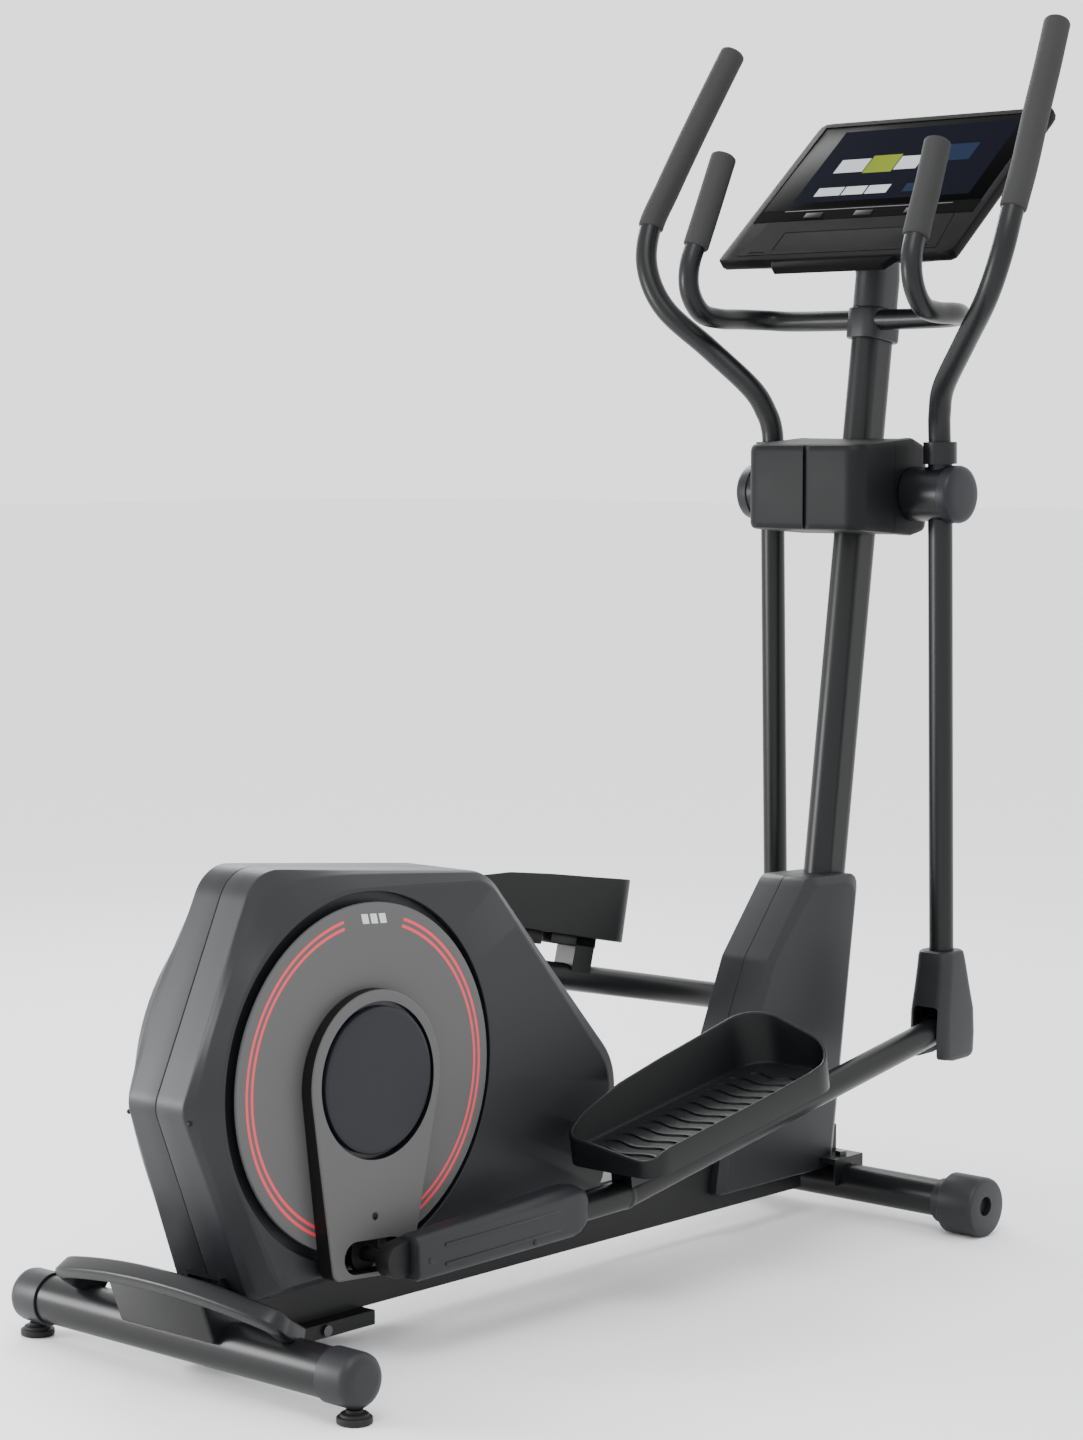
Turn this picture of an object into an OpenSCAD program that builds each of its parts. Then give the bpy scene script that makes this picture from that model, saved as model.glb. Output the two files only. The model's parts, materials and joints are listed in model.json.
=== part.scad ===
// Elliptical trainer with a rear flywheel drive, two swinging handlebars, two foot links with
// pedals, a fixed handlebar and a tilted console.
// +X is the user's right, +Y is forward and +Z is up. The origin is on the floor, under the
// centre of the machine. All lengths are millimetres and all angles are degrees.

/* [Linkage] */
// Crank radius, from the crank axis to each crank pin
crank_r = 212; // [205:1:214]
// Height of the crank axis
crank_z = 338; // [335:0.5:342]
// Crank axis ahead of the rear stabilizer
crank_ahead = 217; // [212:1:220]
// Height of the lower swing arm pivots
link_z = 262; // [250:1:270]
// Lower swing arm pivots ahead of the rear stabilizer
link_ahead = 1322; // [1310:1:1330]
// Height of the upper swing arm pivots
swing_z = 1030; // [1020:1:1040]
// Upper swing arm pivots ahead of the rear stabilizer
swing_ahead = 1305.5; // [1300:0.5:1310]
// Distance of the swing arms and foot links from the middle plane
arm_x = 151; // [151:1:154]

/* [Stabilizers] */
// Radius of the rear stabilizer tube
rear_tube_r = 30; // [28:1:31]
// Height of the rear stabilizer axis
rear_tube_z = 50; // [48:1:52]
// Half length of the rear stabilizer, over its end caps
rear_half = 298; // [290:1:310]
// Radius of the front stabilizer tube
front_tube_r = 26; // [24:1:28]
// Height of the front stabilizer axis
front_tube_z = 43; // [42.5:0.5:44]
// Front stabilizer ahead of the rear one
front_ahead = 1207; // [1200:1:1210]
// Half length of the front stabilizer, over its wheel housings
front_half = 312; // [300:1:320]

/* [Drive housing] */
// Half width of the drive housing at its side faces
housing_half = 78; // [77:0.5:79]
// Wall thickness of the moulded covers
shell_t = 3; // [2.5:0.5:4]
// Radius of the round crank disc
disc_r = 214; // [210:1:218]
// Radius of the recess that the crank disc turns in
recess_r = 226; // [223:1:226]

/* [Post and console] */
// Width of the oval post
post_w = 45; // [40:1:48]
// Depth of the oval post, front to back
post_d = 70; // [64:1:74]
// Forward lean of the post
post_lean = 7.84; // [7:0.1:8.5]
// Console width
console_w = 420; // [400:1:430]
// Console length up its sloping face
console_l = 339; // [330:1:345]
// Console slope above the horizontal
console_tilt = 40.5; // [38:0.5:43]

/* [Handles and pedals] */
// Radius of the swinging and fixed handle tubes
handle_r = 16; // [14:0.5:17]
// Radius of the foam grips
grip_r = 19; // [18:0.5:21]
// Pedal length
pedal_l = 400; // [380:1:410]
// Pedal width
pedal_w = 150; // [140:1:152]

/* [Hidden] */
$fn = 48;

// Stations along the machine
rear_y = -724.4;
crank_y = rear_y + crank_ahead;
link_y = rear_y + link_ahead;
swing_y = rear_y + swing_ahead;
front_y = rear_y + front_ahead;

// The crank stands square to the line from its axis to the lower pivots, so both foot links
// have one length. One crank pin is down and the other is up.
link_span_y = link_y - crank_y;
link_drop = crank_z - link_z;
crank_tilt = atan(link_drop / link_span_y);
link_l = sqrt(link_span_y * link_span_y + link_drop * link_drop + crank_r * crank_r);
low_pin = [crank_y - crank_r * sin(crank_tilt), crank_z - crank_r * cos(crank_tilt)];
high_pin = [crank_y + crank_r * sin(crank_tilt), crank_z + crank_r * cos(crank_tilt)];
right_link_angle = atan((link_z - low_pin[1]) / (link_y - low_pin[0]));
left_link_angle = atan((link_z - high_pin[1]) / (link_y - high_pin[0]));

// Layers outward from the middle plane, at the crank
recess_floor = housing_half - 12;
disc_in = housing_half;
disc_out = disc_in + 6;
arm_in = disc_out + 0.6;
arm_out = arm_in + 8.4;
cover_out = disc_out + 26;
hub_out = disc_out + 22;
pin_end = 130.5;
link_in = 131.6;

// Small sizes
gap = 0.3;
run = 0.05;
axle_r = 12;
pivot_r = 12;
link_pin_r = 8;
link_tube_r = 19;
swing_tube_r = 17.5;
foot_stud_r = 5;

// Foot link: the tube bows under the straight line between its two pivots
bow_back = link_l - 412;
bow_drop = 39.5;
front_slope = atan(bow_drop / bow_back);
rear_slope = atan(bow_drop / (link_l - bow_back));
pedal_back = 787;
pedal_rise = 32;
pedal_tilt = 2.8;
pedal_x = 193;

// Main rail
rail_half = 30;
rail_lo = 38;
rail_hi = 118;
rail_rear = rear_y + rear_tube_r - 6;
rail_front = front_y - 58;

// Post: it starts on the rail and leans forward
post_y = front_y - 18;
post_z = 118;
post_l = 1262;
pod_lo = 970;
pod_hi = 1110;

// Flywheel drive
fly_y = crank_y + 305;
fly_z = 280;
fly_r = 112;
fly_pulley_r = 22;
fly_axle_r = 8;
pulley_r = 150;
belt_x = -52;
belt_half = 9;
belt_t = 3;
idler_r = 17;

// The idler presses up on the lower run of the belt, which leaves the drive pulley at run_a
belt_span = norm([fly_y - crank_y, fly_z - crank_z]);
run_a = atan((fly_z - crank_z) / (fly_y - crank_y)) - 90 + asin((pulley_r - fly_pulley_r) / belt_span);
run_n = [cos(run_a), sin(run_a)];
idler_at = 0.4 * ([crank_y, crank_z] + pulley_r * run_n) + 0.6 * ([fly_y, fly_z] + fly_pulley_r * run_n)
  + (gap + belt_t + 0.4 + idler_r) * run_n;
idler_y = idler_at[0];
idler_z = idler_at[1];

// Power inlet, in the left side of the housing
inlet_y = rear_y + 600;
inlet_z = 150;
inlet_r = 8;

// Console
lip_y = rear_y + 1242;
lip_z = 1366;

// Transport wheels
wheel_r = 27;
wheel_x = 281;
wheel_ahead = 21;
wheel_z = 29;

shell_c = "#26282b";
frame_c = "#1d1e20";
grey_c = "#55585b";
cap_c = "#3a3d40";
foam_c = "#2b2c2e";
steel_c = "#8b8f94";
screen_c = "#0c0f16";

// ---------- helpers ----------

// Cylinder along X, from x0 to x1
module rod_x(r, x0, x1, fn = 48) {
  translate([x0, 0, 0]) rotate([0, 90, 0]) cylinder(r = r, h = x1 - x0, $fn = fn);
}

// Ring along X
module ring_x(ro, ri, x0, x1) {
  difference() {
    rod_x(ro, x0, x1);
    rod_x(ri, x0 - 1, x1 + 1);
  }
}

// Box from its lowest to its highest corner
module block(lo, hi) {
  translate(lo) cube(hi - lo);
}

// Flat oval: two round ends joined by straight sides, long along Y
module oval(w, l) {
  union() {
    square([w, l - w], center = true);
    translate([0, (l - w) / 2]) circle(d = w);
    translate([0, (w - l) / 2]) circle(d = w);
  }
}

// Rounded rectangle about its centre
module round_rect(w, l, r) {
  union() {
    square([w - 2 * r, l], center = true);
    square([w, l - 2 * r], center = true);
    for (sx = [-1, 1], sy = [-1, 1]) translate([sx * (w / 2 - r), sy * (l / 2 - r)]) circle(r = r);
  }
}

// The same children on the left side, when s is -1
module sided(s) {
  if (s > 0) children();
  else mirror([1, 0, 0]) children();
}

module both_sides() {
  children();
  mirror([1, 0, 0]) children();
}

// Frames of the moving groups. In each, the children are drawn for the right side.
module on_crank(s) {
  translate([0, crank_y, crank_z]) rotate([(s < 0 ? 180 : 0) - crank_tilt, 0, 0]) sided(s) children();
}

module on_swing(s) {
  translate([0, swing_y, swing_z]) rotate([swing_lean, 0, 0]) sided(s) children();
}
swing_lean = atan((link_y - swing_y) / (swing_z - link_z));
swing_l = sqrt(pow(link_y - swing_y, 2) + pow(swing_z - link_z, 2));

module on_link(s) {
  translate([0, link_y, link_z]) rotate([s > 0 ? right_link_angle : left_link_angle, 0, 0]) sided(s) children();
}

module on_post() {
  translate([0, post_y, post_z]) rotate([-post_lean, 0, 0]) children();
}

module on_console() {
  translate([0, lip_y, lip_z]) rotate([console_tilt, 0, 0]) children();
}

// Smooth curve through points, for swept tubes
function spline_point(a, b, c, d, t) =
  0.5 * (2 * b + (c - a) * t + (2 * a - 5 * b + 4 * c - d) * t * t + (3 * b - a - 3 * c + d) * t * t * t);
function spline(p, n) = [
  for (i = [0 : len(p) - 2], k = [0 : n - 1])
    spline_point(p[max(i - 1, 0)], p[i], p[i + 1], p[min(i + 2, len(p) - 1)], k / n),
  p[len(p) - 1]
];
function unit(v) = v / norm(v);
function tangent(p, i) = unit(p[min(i + 1, len(p) - 1)] - p[max(i - 1, 0)]);

// Round bar swept along a list of points; up is a direction that the path never takes
module swept_bar(p, r, up, sides = 12) {
  n = len(p);
  rings = [
    for (i = [0 : n - 1])
      let (t = tangent(p, i), u = unit(cross(up, t)), v = cross(t, u))
      for (k = [0 : sides - 1]) p[i] + r * (cos(360 * k / sides) * u + sin(360 * k / sides) * v)
  ];
  side_faces = [
    for (i = [0 : n - 2], k = [0 : sides - 1])
      let (a = i * sides + k, b = i * sides + (k + 1) % sides)
      each [[a, b + sides, b], [a, a + sides, b + sides]]
  ];
  start_face = [for (k = [0 : sides - 1]) k];
  end_face = [for (k = [sides - 1 : -1 : 0]) (n - 1) * sides + k];
  polyhedron(points = rings, faces = concat([start_face], side_faces, [end_face]));
}

// Handle curve of the right swinging handlebar: X, Y ahead of the pivot, Z
handle_start = [[149, -1, 1104], [148, -2, 1118], [154, -9, 1132]];
handle_bend = [
  [171, -23.5, 1180], [227, -54.5, 1240], [286, -87.5, 1300], [315, -94.5, 1360], [322, -79.5, 1420]
];
grip_curve = [[317, -45.5, 1480], [308, -6.5, 1550], [299, 34.5, 1620], [289, 74, 1688]];
handle_steps = 4;
handle_path = spline(at_swing(concat(handle_start, handle_bend, grip_curve)), handle_steps);
// Step of the handle's path where its grip starts
grip_start = handle_steps * (len(handle_start) + len(handle_bend) - 1);
function at_swing(p) = [for (q = p) [q[0], q[1] + swing_y, q[2]]];

// Fixed handlebar: the right half, from the middle to the top of its grip
fixed_y = rear_y + 1332;
fixed_z = 1280;
fixed_half = [
  [0, 0, 1280], [70, 0, 1280], [140, -1, 1281], [172, -14, 1283], [190, -50, 1284], [194, -100, 1284],
  [197, -139, 1292], [198.5, -163, 1322], [197, -165, 1361], [194.5, -145, 1407]
];
fixed_grip = [[194.5, -145, 1407], [193, -123, 1456], [190, -96, 1520]];
function at_fixed(p) = [for (q = p) [q[0], q[1] + fixed_y, q[2]]];
function mirrored(p) = [for (i = [len(p) - 1 : -1 : 0]) [-p[i][0], p[i][1], p[i][2]]];
function from_step(p, first) = [for (i = [first : len(p) - 1]) p[i]];
function past_middle(p) = from_step(p, 1);

// ---------- floor frame ----------

module main_frame() color(frame_c) {
  difference() {
    block([-rail_half, rail_rear, rail_lo], [rail_half, rail_front, rail_hi]);
    block([-rail_half + 3, rail_rear - 1, rail_lo + 3], [rail_half - 3, rail_front + 1, rail_hi - 3]);
    translate([0, rear_y, rear_tube_z]) rod_x(rear_tube_r + gap, -40, 40);
  }
  // Rear bracket under the housing, in front of the rear stabilizer
  difference() {
    block([-52, rear_y + 44, 20], [52, rear_y + 261, rail_lo]);
    block([-46, rear_y + 50, 19], [46, rear_y + 255, rail_lo - 4]);
  }
  // Front saddle, from the rail over the front stabilizer
  difference() {
    block([-75, front_y - 36, rail_lo + 4], [75, front_y + 30, 80]);
    block([-72, front_y - 40, rail_lo], [72, front_y + 40, 72]);
    block([-rail_half - gap, front_y - 60, rail_lo], [rail_half + gap, rail_front + gap, 120]);
    translate([0, front_y, front_tube_z]) rod_x(front_tube_r + gap, -100, 100);
  }
  block([-rail_half, front_y - 58 + gap, 80], [rail_half, front_y + 26, 117]);
  // Crank bearing tube on two plates
  difference() {
    union() {
      for (x = [-34, 28]) block([x, crank_y - 55, rail_hi], [x + 6, crank_y + 55, crank_z]);
      for (x = [-34, 28]) translate([0, crank_y, crank_z]) rod_x(55, x, x + 6);
      translate([0, crank_y, crank_z]) rod_x(30, -38, 38);
    }
    translate([0, crank_y, crank_z]) rod_x(25, -60, 60);
  }
  // Flywheel fork
  difference() {
    union() {
      for (x = [-34, 28]) block([x, fly_y - 22, rail_hi], [x + 6, fly_y + 22, fly_z + 22]);
      block([-34, fly_y - 12, fly_z], [-28, fly_y + 12, fly_z + fly_r + 14]);
    }
    translate([0, fly_y, fly_z]) rod_x(fly_axle_r + run, -60, 60);
  }
}

module rear_stabilizer() color(frame_c)
  translate([0, rear_y, rear_tube_z]) ring_x(rear_tube_r, rear_tube_r - 2.5, -rear_half + 52, rear_half - 52);

module rear_end_caps() color(shell_c) both_sides()
  difference() {
    translate([0, rear_y, rear_tube_z]) {
      rod_x(rear_tube_r + 3, rear_half - 51.7, rear_half - 12);
      translate([rear_half - 12, 0, 0]) rotate([0, 90, 0]) rotate_extrude() union() {
        square([rear_tube_r - 9, 12]);
        translate([rear_tube_r - 9, 0]) intersection() {
          circle(r = 12);
          square(12);
        }
      }
    }
    translate([rear_half - 19, rear_y, 0]) cylinder(r = foot_stud_r + run, h = 56);
  }

module lift_handle() color(frame_c) {
  bar = [
    [-186, 16, 78], [-186, -20, 96], [-160, -42, 112], [-50, -50, 126],
    [50, -50, 126], [160, -42, 112], [186, -20, 96], [186, 16, 78]
  ];
  difference() {
    union() {
      translate([0, rear_y, 0]) swept_bar(spline(bar, 6), 9, [0, 1, -2]);
      // Web between the bar and the tube
      translate([0, rear_y, 0]) rotate([0, 90, 0]) translate([0, 0, -45]) linear_extrude(90)
        polygon([[-60, 10], [-60, -40], [-126, -52], [-126, -44], [-104, -10], [-84, 14]]);
    }
    translate([0, rear_y, rear_tube_z]) rod_x(rear_tube_r + gap, -240, 240);
    block([-rail_half - gap, rail_rear - gap, 0], [rail_half + gap, 0, 200]);
  }
}

module front_stabilizer() color(frame_c)
  translate([0, front_y, front_tube_z]) ring_x(front_tube_r, front_tube_r - 2.5, -front_half + 62, front_half - 62);

module front_wheel_housings() color(shell_c) both_sides()
  difference() {
    union() {
      translate([0, front_y, 41]) rod_x(42, front_half - 58, front_half - 3);
      translate([0, front_y, 41]) rod_x(38, front_half - 3, front_half);
      translate([0, front_y, front_tube_z]) rod_x(31, front_half - 76, front_half - 58);
    }
    // Flat under the housing, where the machine rests
    block([-400, front_y - 60, -20], [400, front_y + 60, 0]);
    // Socket over the tube
    translate([0, front_y, front_tube_z]) rod_x(front_tube_r + gap, front_half - 90, front_half - 61);
    // Wheel well, open in front and below
    hull() {
      translate([0, front_y + wheel_ahead, wheel_z]) rod_x(wheel_r + 3, wheel_x - 14, wheel_x + 14, 32);
      translate([0, front_y + 60, wheel_z - 20]) rod_x(wheel_r + 3, wheel_x - 14, wheel_x + 14, 32);
    }
    translate([0, front_y + wheel_ahead, wheel_z]) rod_x(4 + run, front_half - 55, front_half + 1);
    // Round recess in the outer face
    translate([0, front_y - 4, 44]) rod_x(13.5, front_half - 8, front_half + 1);
  }

module levelling_foot(s) color(shell_c) sided(s) translate([rear_half - 19, rear_y, 0]) {
  cylinder(r = 21, h = 8);
  translate([0, 0, 8]) cylinder(r = 17, h = 4);
  translate([0, 0, 12]) cylinder(r = 10, h = 4);
  cylinder(r = foot_stud_r, h = 48);
}

module transport_wheel(s) color(foam_c) sided(s) translate([0, front_y + wheel_ahead, wheel_z])
  difference() {
    union() {
      rod_x(wheel_r, wheel_x - 10, wheel_x + 10);
      rod_x(10, wheel_x - 12.5, wheel_x + 12.5);
    }
    rod_x(4 + 0.1, wheel_x - 20, wheel_x + 20);
  }

// ---------- post ----------

module upright_post() color(frame_c) difference() {
  on_post() translate([0, 0, -20]) difference() {
    linear_extrude(post_l + 20) oval(post_w, post_d);
    translate([0, 0, -1]) linear_extrude(post_l + 22) oval(post_w - 6, post_d - 6);
  }
  // Level foot on the frame, and the hole for the fixed handlebar
  block([-100, post_y - 100, 0], [100, post_y + 100, 117 + gap]);
  translate([0, fixed_y, fixed_z]) rod_x(handle_r - 1 + gap, -40, 40);
}

// One half of the shell round the foot of the post
module post_shroud(s) color(shell_c) sided(s) difference() {
  hull() {
    shroud_slice(0.3, 40, 0);
    shroud_slice(40, 47, 12);
  }
  hull() {
    shroud_slice(-1, 37, shell_t);
    shroud_slice(37, 44, 12 + shell_t);
  }
  // The post, the rail and the front saddle pass through
  on_post() translate([0, 0, -40]) linear_extrude(post_l) oval(post_w + 1, post_d + 1);
  block([-rail_half - 0.5, rear_y, 0], [rail_half + 0.5, front_y - 57, rail_hi + 0.5]);
  block([-76, front_y - 57.5, 0], [76, front_y + 100, 80.5]);
  block([-rail_half - 0.5, front_y - 58, 0], [rail_half + 0.5, front_y + 26.5, 117.5]);
}

module shroud_slice(x0, x1, inset) {
  translate([x0, 0, 0]) rotate([90, 0, 90]) linear_extrude(x1 - x0) hull() {
    translate([rear_y + 1152 + inset, 468 - inset]) circle(r = 18, $fn = 32);
    translate([rear_y + 1247 - inset, 465 - inset]) circle(r = 18, $fn = 32);
    translate([rear_y + 1062 + inset, 372]) circle(r = 10, $fn = 32);
    translate([rear_y + 976 + inset, 170]) circle(r = 14, $fn = 32);
    translate([rear_y + 948 + inset, 66 + inset * 0.3]) circle(r = 6, $fn = 32);
    translate([rear_y + 1202 - inset, 66 + inset * 0.3]) circle(r = 6, $fn = 32);
  }
}

// Shell round the swing pivots, in a front and a rear half
module pod_solid(inset) {
  hull() {
    pod_slice(inset, rear_y + 1200, pod_lo + 10, pod_hi - 10, [200, 50, 12]);
    pod_slice(inset, rear_y + 1308, pod_lo, pod_hi, [208, 96, 30]);
    pod_slice(inset, rear_y + 1345, pod_lo + 14, pod_hi - 26, [120, 60, 28]);
  }
}

// Upright slice of the pod: its station, its lower and upper end, and its width, depth and radius
module pod_slice(inset, y, z0, z1, size) {
  translate([0, y, z0 + inset]) linear_extrude(z1 - z0 - 2 * inset)
    round_rect(size[0] - 2 * inset, size[1] - 2 * inset, size[2]);
}

module pod_half(front) color(shell_c) difference() {
  pod_solid(0);
  pod_solid(shell_t);
  if (front) block([-200, rear_y + 1000, 900], [200, rear_y + 1262, 1200]);
  else block([-200, rear_y + 1262 - gap, 900], [200, rear_y + 1500, 1200]);
  on_post() translate([0, 0, 700]) linear_extrude(400) oval(post_w + 1, post_d + 1);
  translate([0, swing_y, swing_z]) rod_x(40, -200, 200);
}

module pivot_axle() color(steel_c) translate([0, swing_y, swing_z]) {
  difference() {
    union() {
      rod_x(pivot_r, -176, 176);
      rod_x(22, -96, 96);
    }
    // Cradle on the post
    translate([0, -swing_y, -swing_z]) on_post() translate([0, 0, 700]) linear_extrude(400) oval(post_w + 0.2, post_d + 0.2);
  }
}

// ---------- drive housing ----------

// Full outline of the housing: a body with rounded corners and flat side faces
module housing_solid(inset) {
  hull() {
    // Side faces
    translate([0, crank_y, crank_z]) rod_x(230 - inset, -housing_half + inset, housing_half - inset, 72);
    for (c = [[rear_y + 413, 500, 58], [rear_y + 608, 264, 64], [rear_y + 623, 158, 40], [rear_y + 90, 124, 20]])
      translate([0, c[0], c[1]]) rod_x(c[2] - inset, -housing_half + inset, housing_half - inset, 32);
    // Middle band: axis, radius and half width of each rounded corner
    for (c = [
      [rear_y + 104, 548, 52, 44], [rear_y + 421, 504, 65, 58], [rear_y + 621, 256, 85, 58],
      [rear_y + 639, 146, 40, 52], [rear_y + 57, 112, 22, 60], [rear_y - 15, 330, 33, 48]
    ])
      translate([0, c[0], c[1]]) rod_x(c[2] - inset, -c[3] + inset, c[3] - inset, 32);
  }
}

module drive_cover(s) color(shell_c) sided(s) difference() {
  housing_solid(0);
  difference() {
    housing_solid(shell_t);
    // Floor and wall of the disc recess
    translate([0, crank_y, crank_z]) rod_x(recess_r + 3, recess_floor - 3, 120, 72);
  }
  translate([0, crank_y, crank_z]) {
    rod_x(recess_r, recess_floor, 120, 72);
    rod_x(40, 0, 120);
  }
  block([-200, rear_y - 200, 0], [0.3, rear_y + 900, 700]);
  // The rail passes through below, and the power inlet through the left side
  block([-rail_half - 0.5, rear_y - 200, 0], [rail_half + 0.5, rear_y + 900, rail_hi + 0.5]);
  if (s < 0) translate([0, inlet_y, inlet_z]) rod_x(inlet_r + gap, 40, 120);
}

module crank_bearings() color(steel_c) for (x = [-38, 22])
  translate([0, crank_y, crank_z]) ring_x(25, axle_r + run, x, x + 16);

// Shaft of the flywheel, with its small belt pulley
module flywheel_axle() color(steel_c) translate([0, fly_y, fly_z]) {
  rod_x(fly_axle_r, belt_x - 14, 44);
  rod_x(fly_pulley_r, belt_x - 10, belt_x + 10);
}

module brake_magnets() color(steel_c) difference() {
  union() {
    translate([0, fly_y, fly_z]) difference() {
      ring_x(fly_r + 14, fly_r + 6, 4, 26);
      block([-50, -200, -200], [50, 200, 60]);
    }
    // Arm from the fork's left plate to the magnet arc
    block([-28 + gap, fly_y - 11, fly_z + fly_r + 4], [26, fly_y + 11, fly_z + fly_r + 14]);
  }
  translate([0, fly_y, fly_z]) rod_x(fly_r + 5.9, -60, 60);
}

module idler_arm() color(frame_c) {
  translate([0, idler_y, idler_z]) rod_x(12, -40, -36);
  translate([0, idler_y, idler_z]) rod_x(5, -66, -36);
  block([-40, idler_y - 8, rail_hi], [-36, idler_y + 8, idler_z]);
  block([-40, idler_y - 14, rail_hi], [-14, idler_y + 14, rail_hi + 5]);
}

module resistance_motor() color(shell_c) {
  block([-22, crank_y + 90, rail_hi], [22, crank_y + 135, 176]);
  translate([0, crank_y + 112, 176]) cylinder(r = 15, h = 24);
}

module belt_loop(grow) {
  hull() {
    translate([crank_y, crank_z]) circle(r = pulley_r + grow, $fn = 72);
    translate([fly_y, fly_z]) circle(r = fly_pulley_r + grow, $fn = 32);
  }
}

module drive_belt() color("#17181a") translate([belt_x - belt_half, 0, 0]) rotate([90, 0, 90])
  linear_extrude(2 * belt_half) difference() {
    belt_loop(gap + belt_t);
    belt_loop(gap);
  }

module power_inlet() color("#141516") translate([0, inlet_y, inlet_z]) difference() {
  rod_x(inlet_r, -housing_half - 1.5, -housing_half + 24);
  rod_x(inlet_r / 2, -housing_half - 2, -housing_half + 12);
}

module frame_bolts() color(steel_c) {
  // Saddle bolts, wheel axles, and the bolts of the rear bracket
  for (x = [-58, 58]) translate([x, front_y, 80]) cylinder(r = 9, h = 6, $fn = 6);
  both_sides() translate([0, front_y + wheel_ahead, wheel_z]) rod_x(4, front_half - 55, front_half - 9);
  both_sides() translate([52, crank_y - 40, 29]) rotate([0, 90, 0]) cylinder(r = 7, h = 4);
}

// ---------- crank ----------

module crank_axle() color(steel_c) translate([0, crank_y, crank_z]) difference() {
  rod_x(axle_r, -arm_out - 4, arm_out + 4);
  rod_x(4, arm_out - 12, arm_out + 20);
  rod_x(4, -arm_out - 20, -arm_out + 12);
}

module drive_pulley() color(cap_c) translate([0, crank_y, crank_z]) difference() {
  union() {
    ring_x(pulley_r, pulley_r - 12, belt_x - 10, belt_x + 10);
    rod_x(pulley_r - 8, belt_x - 3, belt_x + 3);
    rod_x(30, belt_x - 10, belt_x + 10);
  }
  rod_x(axle_r + 0.01, -200, 200);
  for (a = [0 : 60 : 300]) rotate([a, 0, 0]) translate([0, 85, 0]) rod_x(30, -200, 0);
}

module crank_arms() color(frame_c) for (s = [-1, 1]) on_crank(s) difference() {
  union() {
    translate([arm_in, 0, -crank_r / 2]) rotate([0, 90, 0]) rotate([0, 0, 90]) linear_extrude(arm_out - arm_in) oval(44, crank_r + 44);
    translate([0, 0, -crank_r]) rod_x(9, arm_out - 1, pin_end);
  }
  rod_x(axle_r + 0.01, 0, 200);
}

module crank_discs() color(grey_c) for (s = [-1, 1]) on_crank(s) difference() {
  union() {
    rod_x(disc_r - 3, disc_in - 4, disc_out, 96);
    rod_x(disc_r, disc_in - 2, disc_out - 2, 96);
    rod_x(26, disc_in - 10, disc_out);
  }
  rod_x(axle_r + 0.01, 0, 200);
}

hub_cap_r = 90;

module crank_cover_solid(inset) {
  hull() {
    rod_x(110 - inset, disc_out + gap, hub_out - 2 - inset, 64);
    for (y = [-54, 54]) translate([0, y, -crank_r - 12]) rod_x(14 - inset, disc_out + gap, cover_out - inset, 32);
    for (y = [-58, 58]) translate([0, y, -crank_r + 30]) rod_x(16 - inset, disc_out + gap, cover_out - inset, 32);
  }
}

module crank_cover(s) color(grey_c) on_crank(s) difference() {
  crank_cover_solid(0);
  intersection() {
    crank_cover_solid(2.5);
    translate([0, 0, -crank_r / 2]) block([0, -60, -160], [200, 60, 160]);
  }
  // Seat of the hub cap, and the pocket round the crank pin
  rod_x(hub_cap_r + 1, arm_out + 0.2, 140, 64);
  rod_x(60, disc_out - 10, 140);
  translate([disc_out - 10, 0, -crank_r]) rotate([0, 90, 0]) linear_extrude(60) oval(40, 100);
}

module hub_caps() color(cap_c) for (s = [-1, 1]) on_crank(s) difference() {
  union() {
    rod_x(hub_cap_r, arm_out + 0.4, hub_out, 64);
    rod_x(hub_cap_r - 4, hub_out, hub_out + 2, 64);
  }
  rod_x(axle_r + 2, disc_out, arm_out + 4.5);
}

module flywheel() color(steel_c) translate([0, fly_y, fly_z]) difference() {
  union() {
    rod_x(fly_r, 5, 25, 64);
    rod_x(22, 2, 27.5);
  }
  rod_x(fly_axle_r + 0.01, -60, 60);
}

module idler_pulley() color(cap_c) translate([0, idler_y, idler_z]) difference() {
  rod_x(idler_r, belt_x - 9, belt_x + 9);
  rod_x(5 + run, -100, 0);
}

// ---------- swing arms ----------

module swing_arm(s) color(frame_c) on_swing(s) difference() {
  union() {
    // Pivot sleeve, lower tube, stub and collar for the handlebar
    rod_x(39, 106, 170);
    translate([arm_x, 0, 54 - swing_l]) cylinder(r = swing_tube_r, h = swing_l - 54);
    translate([arm_x, 0, 0]) cylinder(r = swing_tube_r, h = 52);
    translate([arm_x, 0, 43]) cylinder(r = 24, h = 31);
    // Fork round the foot link's front sleeve
    for (x = [arm_x - 24, arm_x + 20]) translate([x, 0, 0]) {
      block([0, -20, -swing_l], [4, 20, 64 - swing_l]);
      translate([0, 0, -swing_l]) rod_x(20, 0, 4);
    }
    block([arm_x - 24, -20, 54 - swing_l], [arm_x + 24, 20, 64 - swing_l]);
    translate([0, 0, -swing_l]) rod_x(link_pin_r, arm_x - 26, arm_x + 26);
  }
  rod_x(pivot_r + run, 0, 200);
  translate([arm_x, 0, 60]) cylinder(r = 4, h = 20);
}

module handlebar(s) color(frame_c) sided(s)
  swept_bar(handle_path, handle_r, [0, 1, 0]);

module grip(s) color(foam_c) sided(s) difference() {
  swept_bar(from_step(handle_path, grip_start), grip_r, [0, 1, 0]);
  swept_bar(from_step(handle_path, grip_start - 1), handle_r + 0.1, [0, 1, 0]);
}

module pivot_cap(s) color(cap_c) on_swing(s) difference() {
  union() {
    rod_x(41, 170.2, 186);
    rod_x(37, 186, 190);
    rod_x(34, 190, 192);
  }
  rod_x(pivot_r + 1, 160, 180);
}

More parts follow.
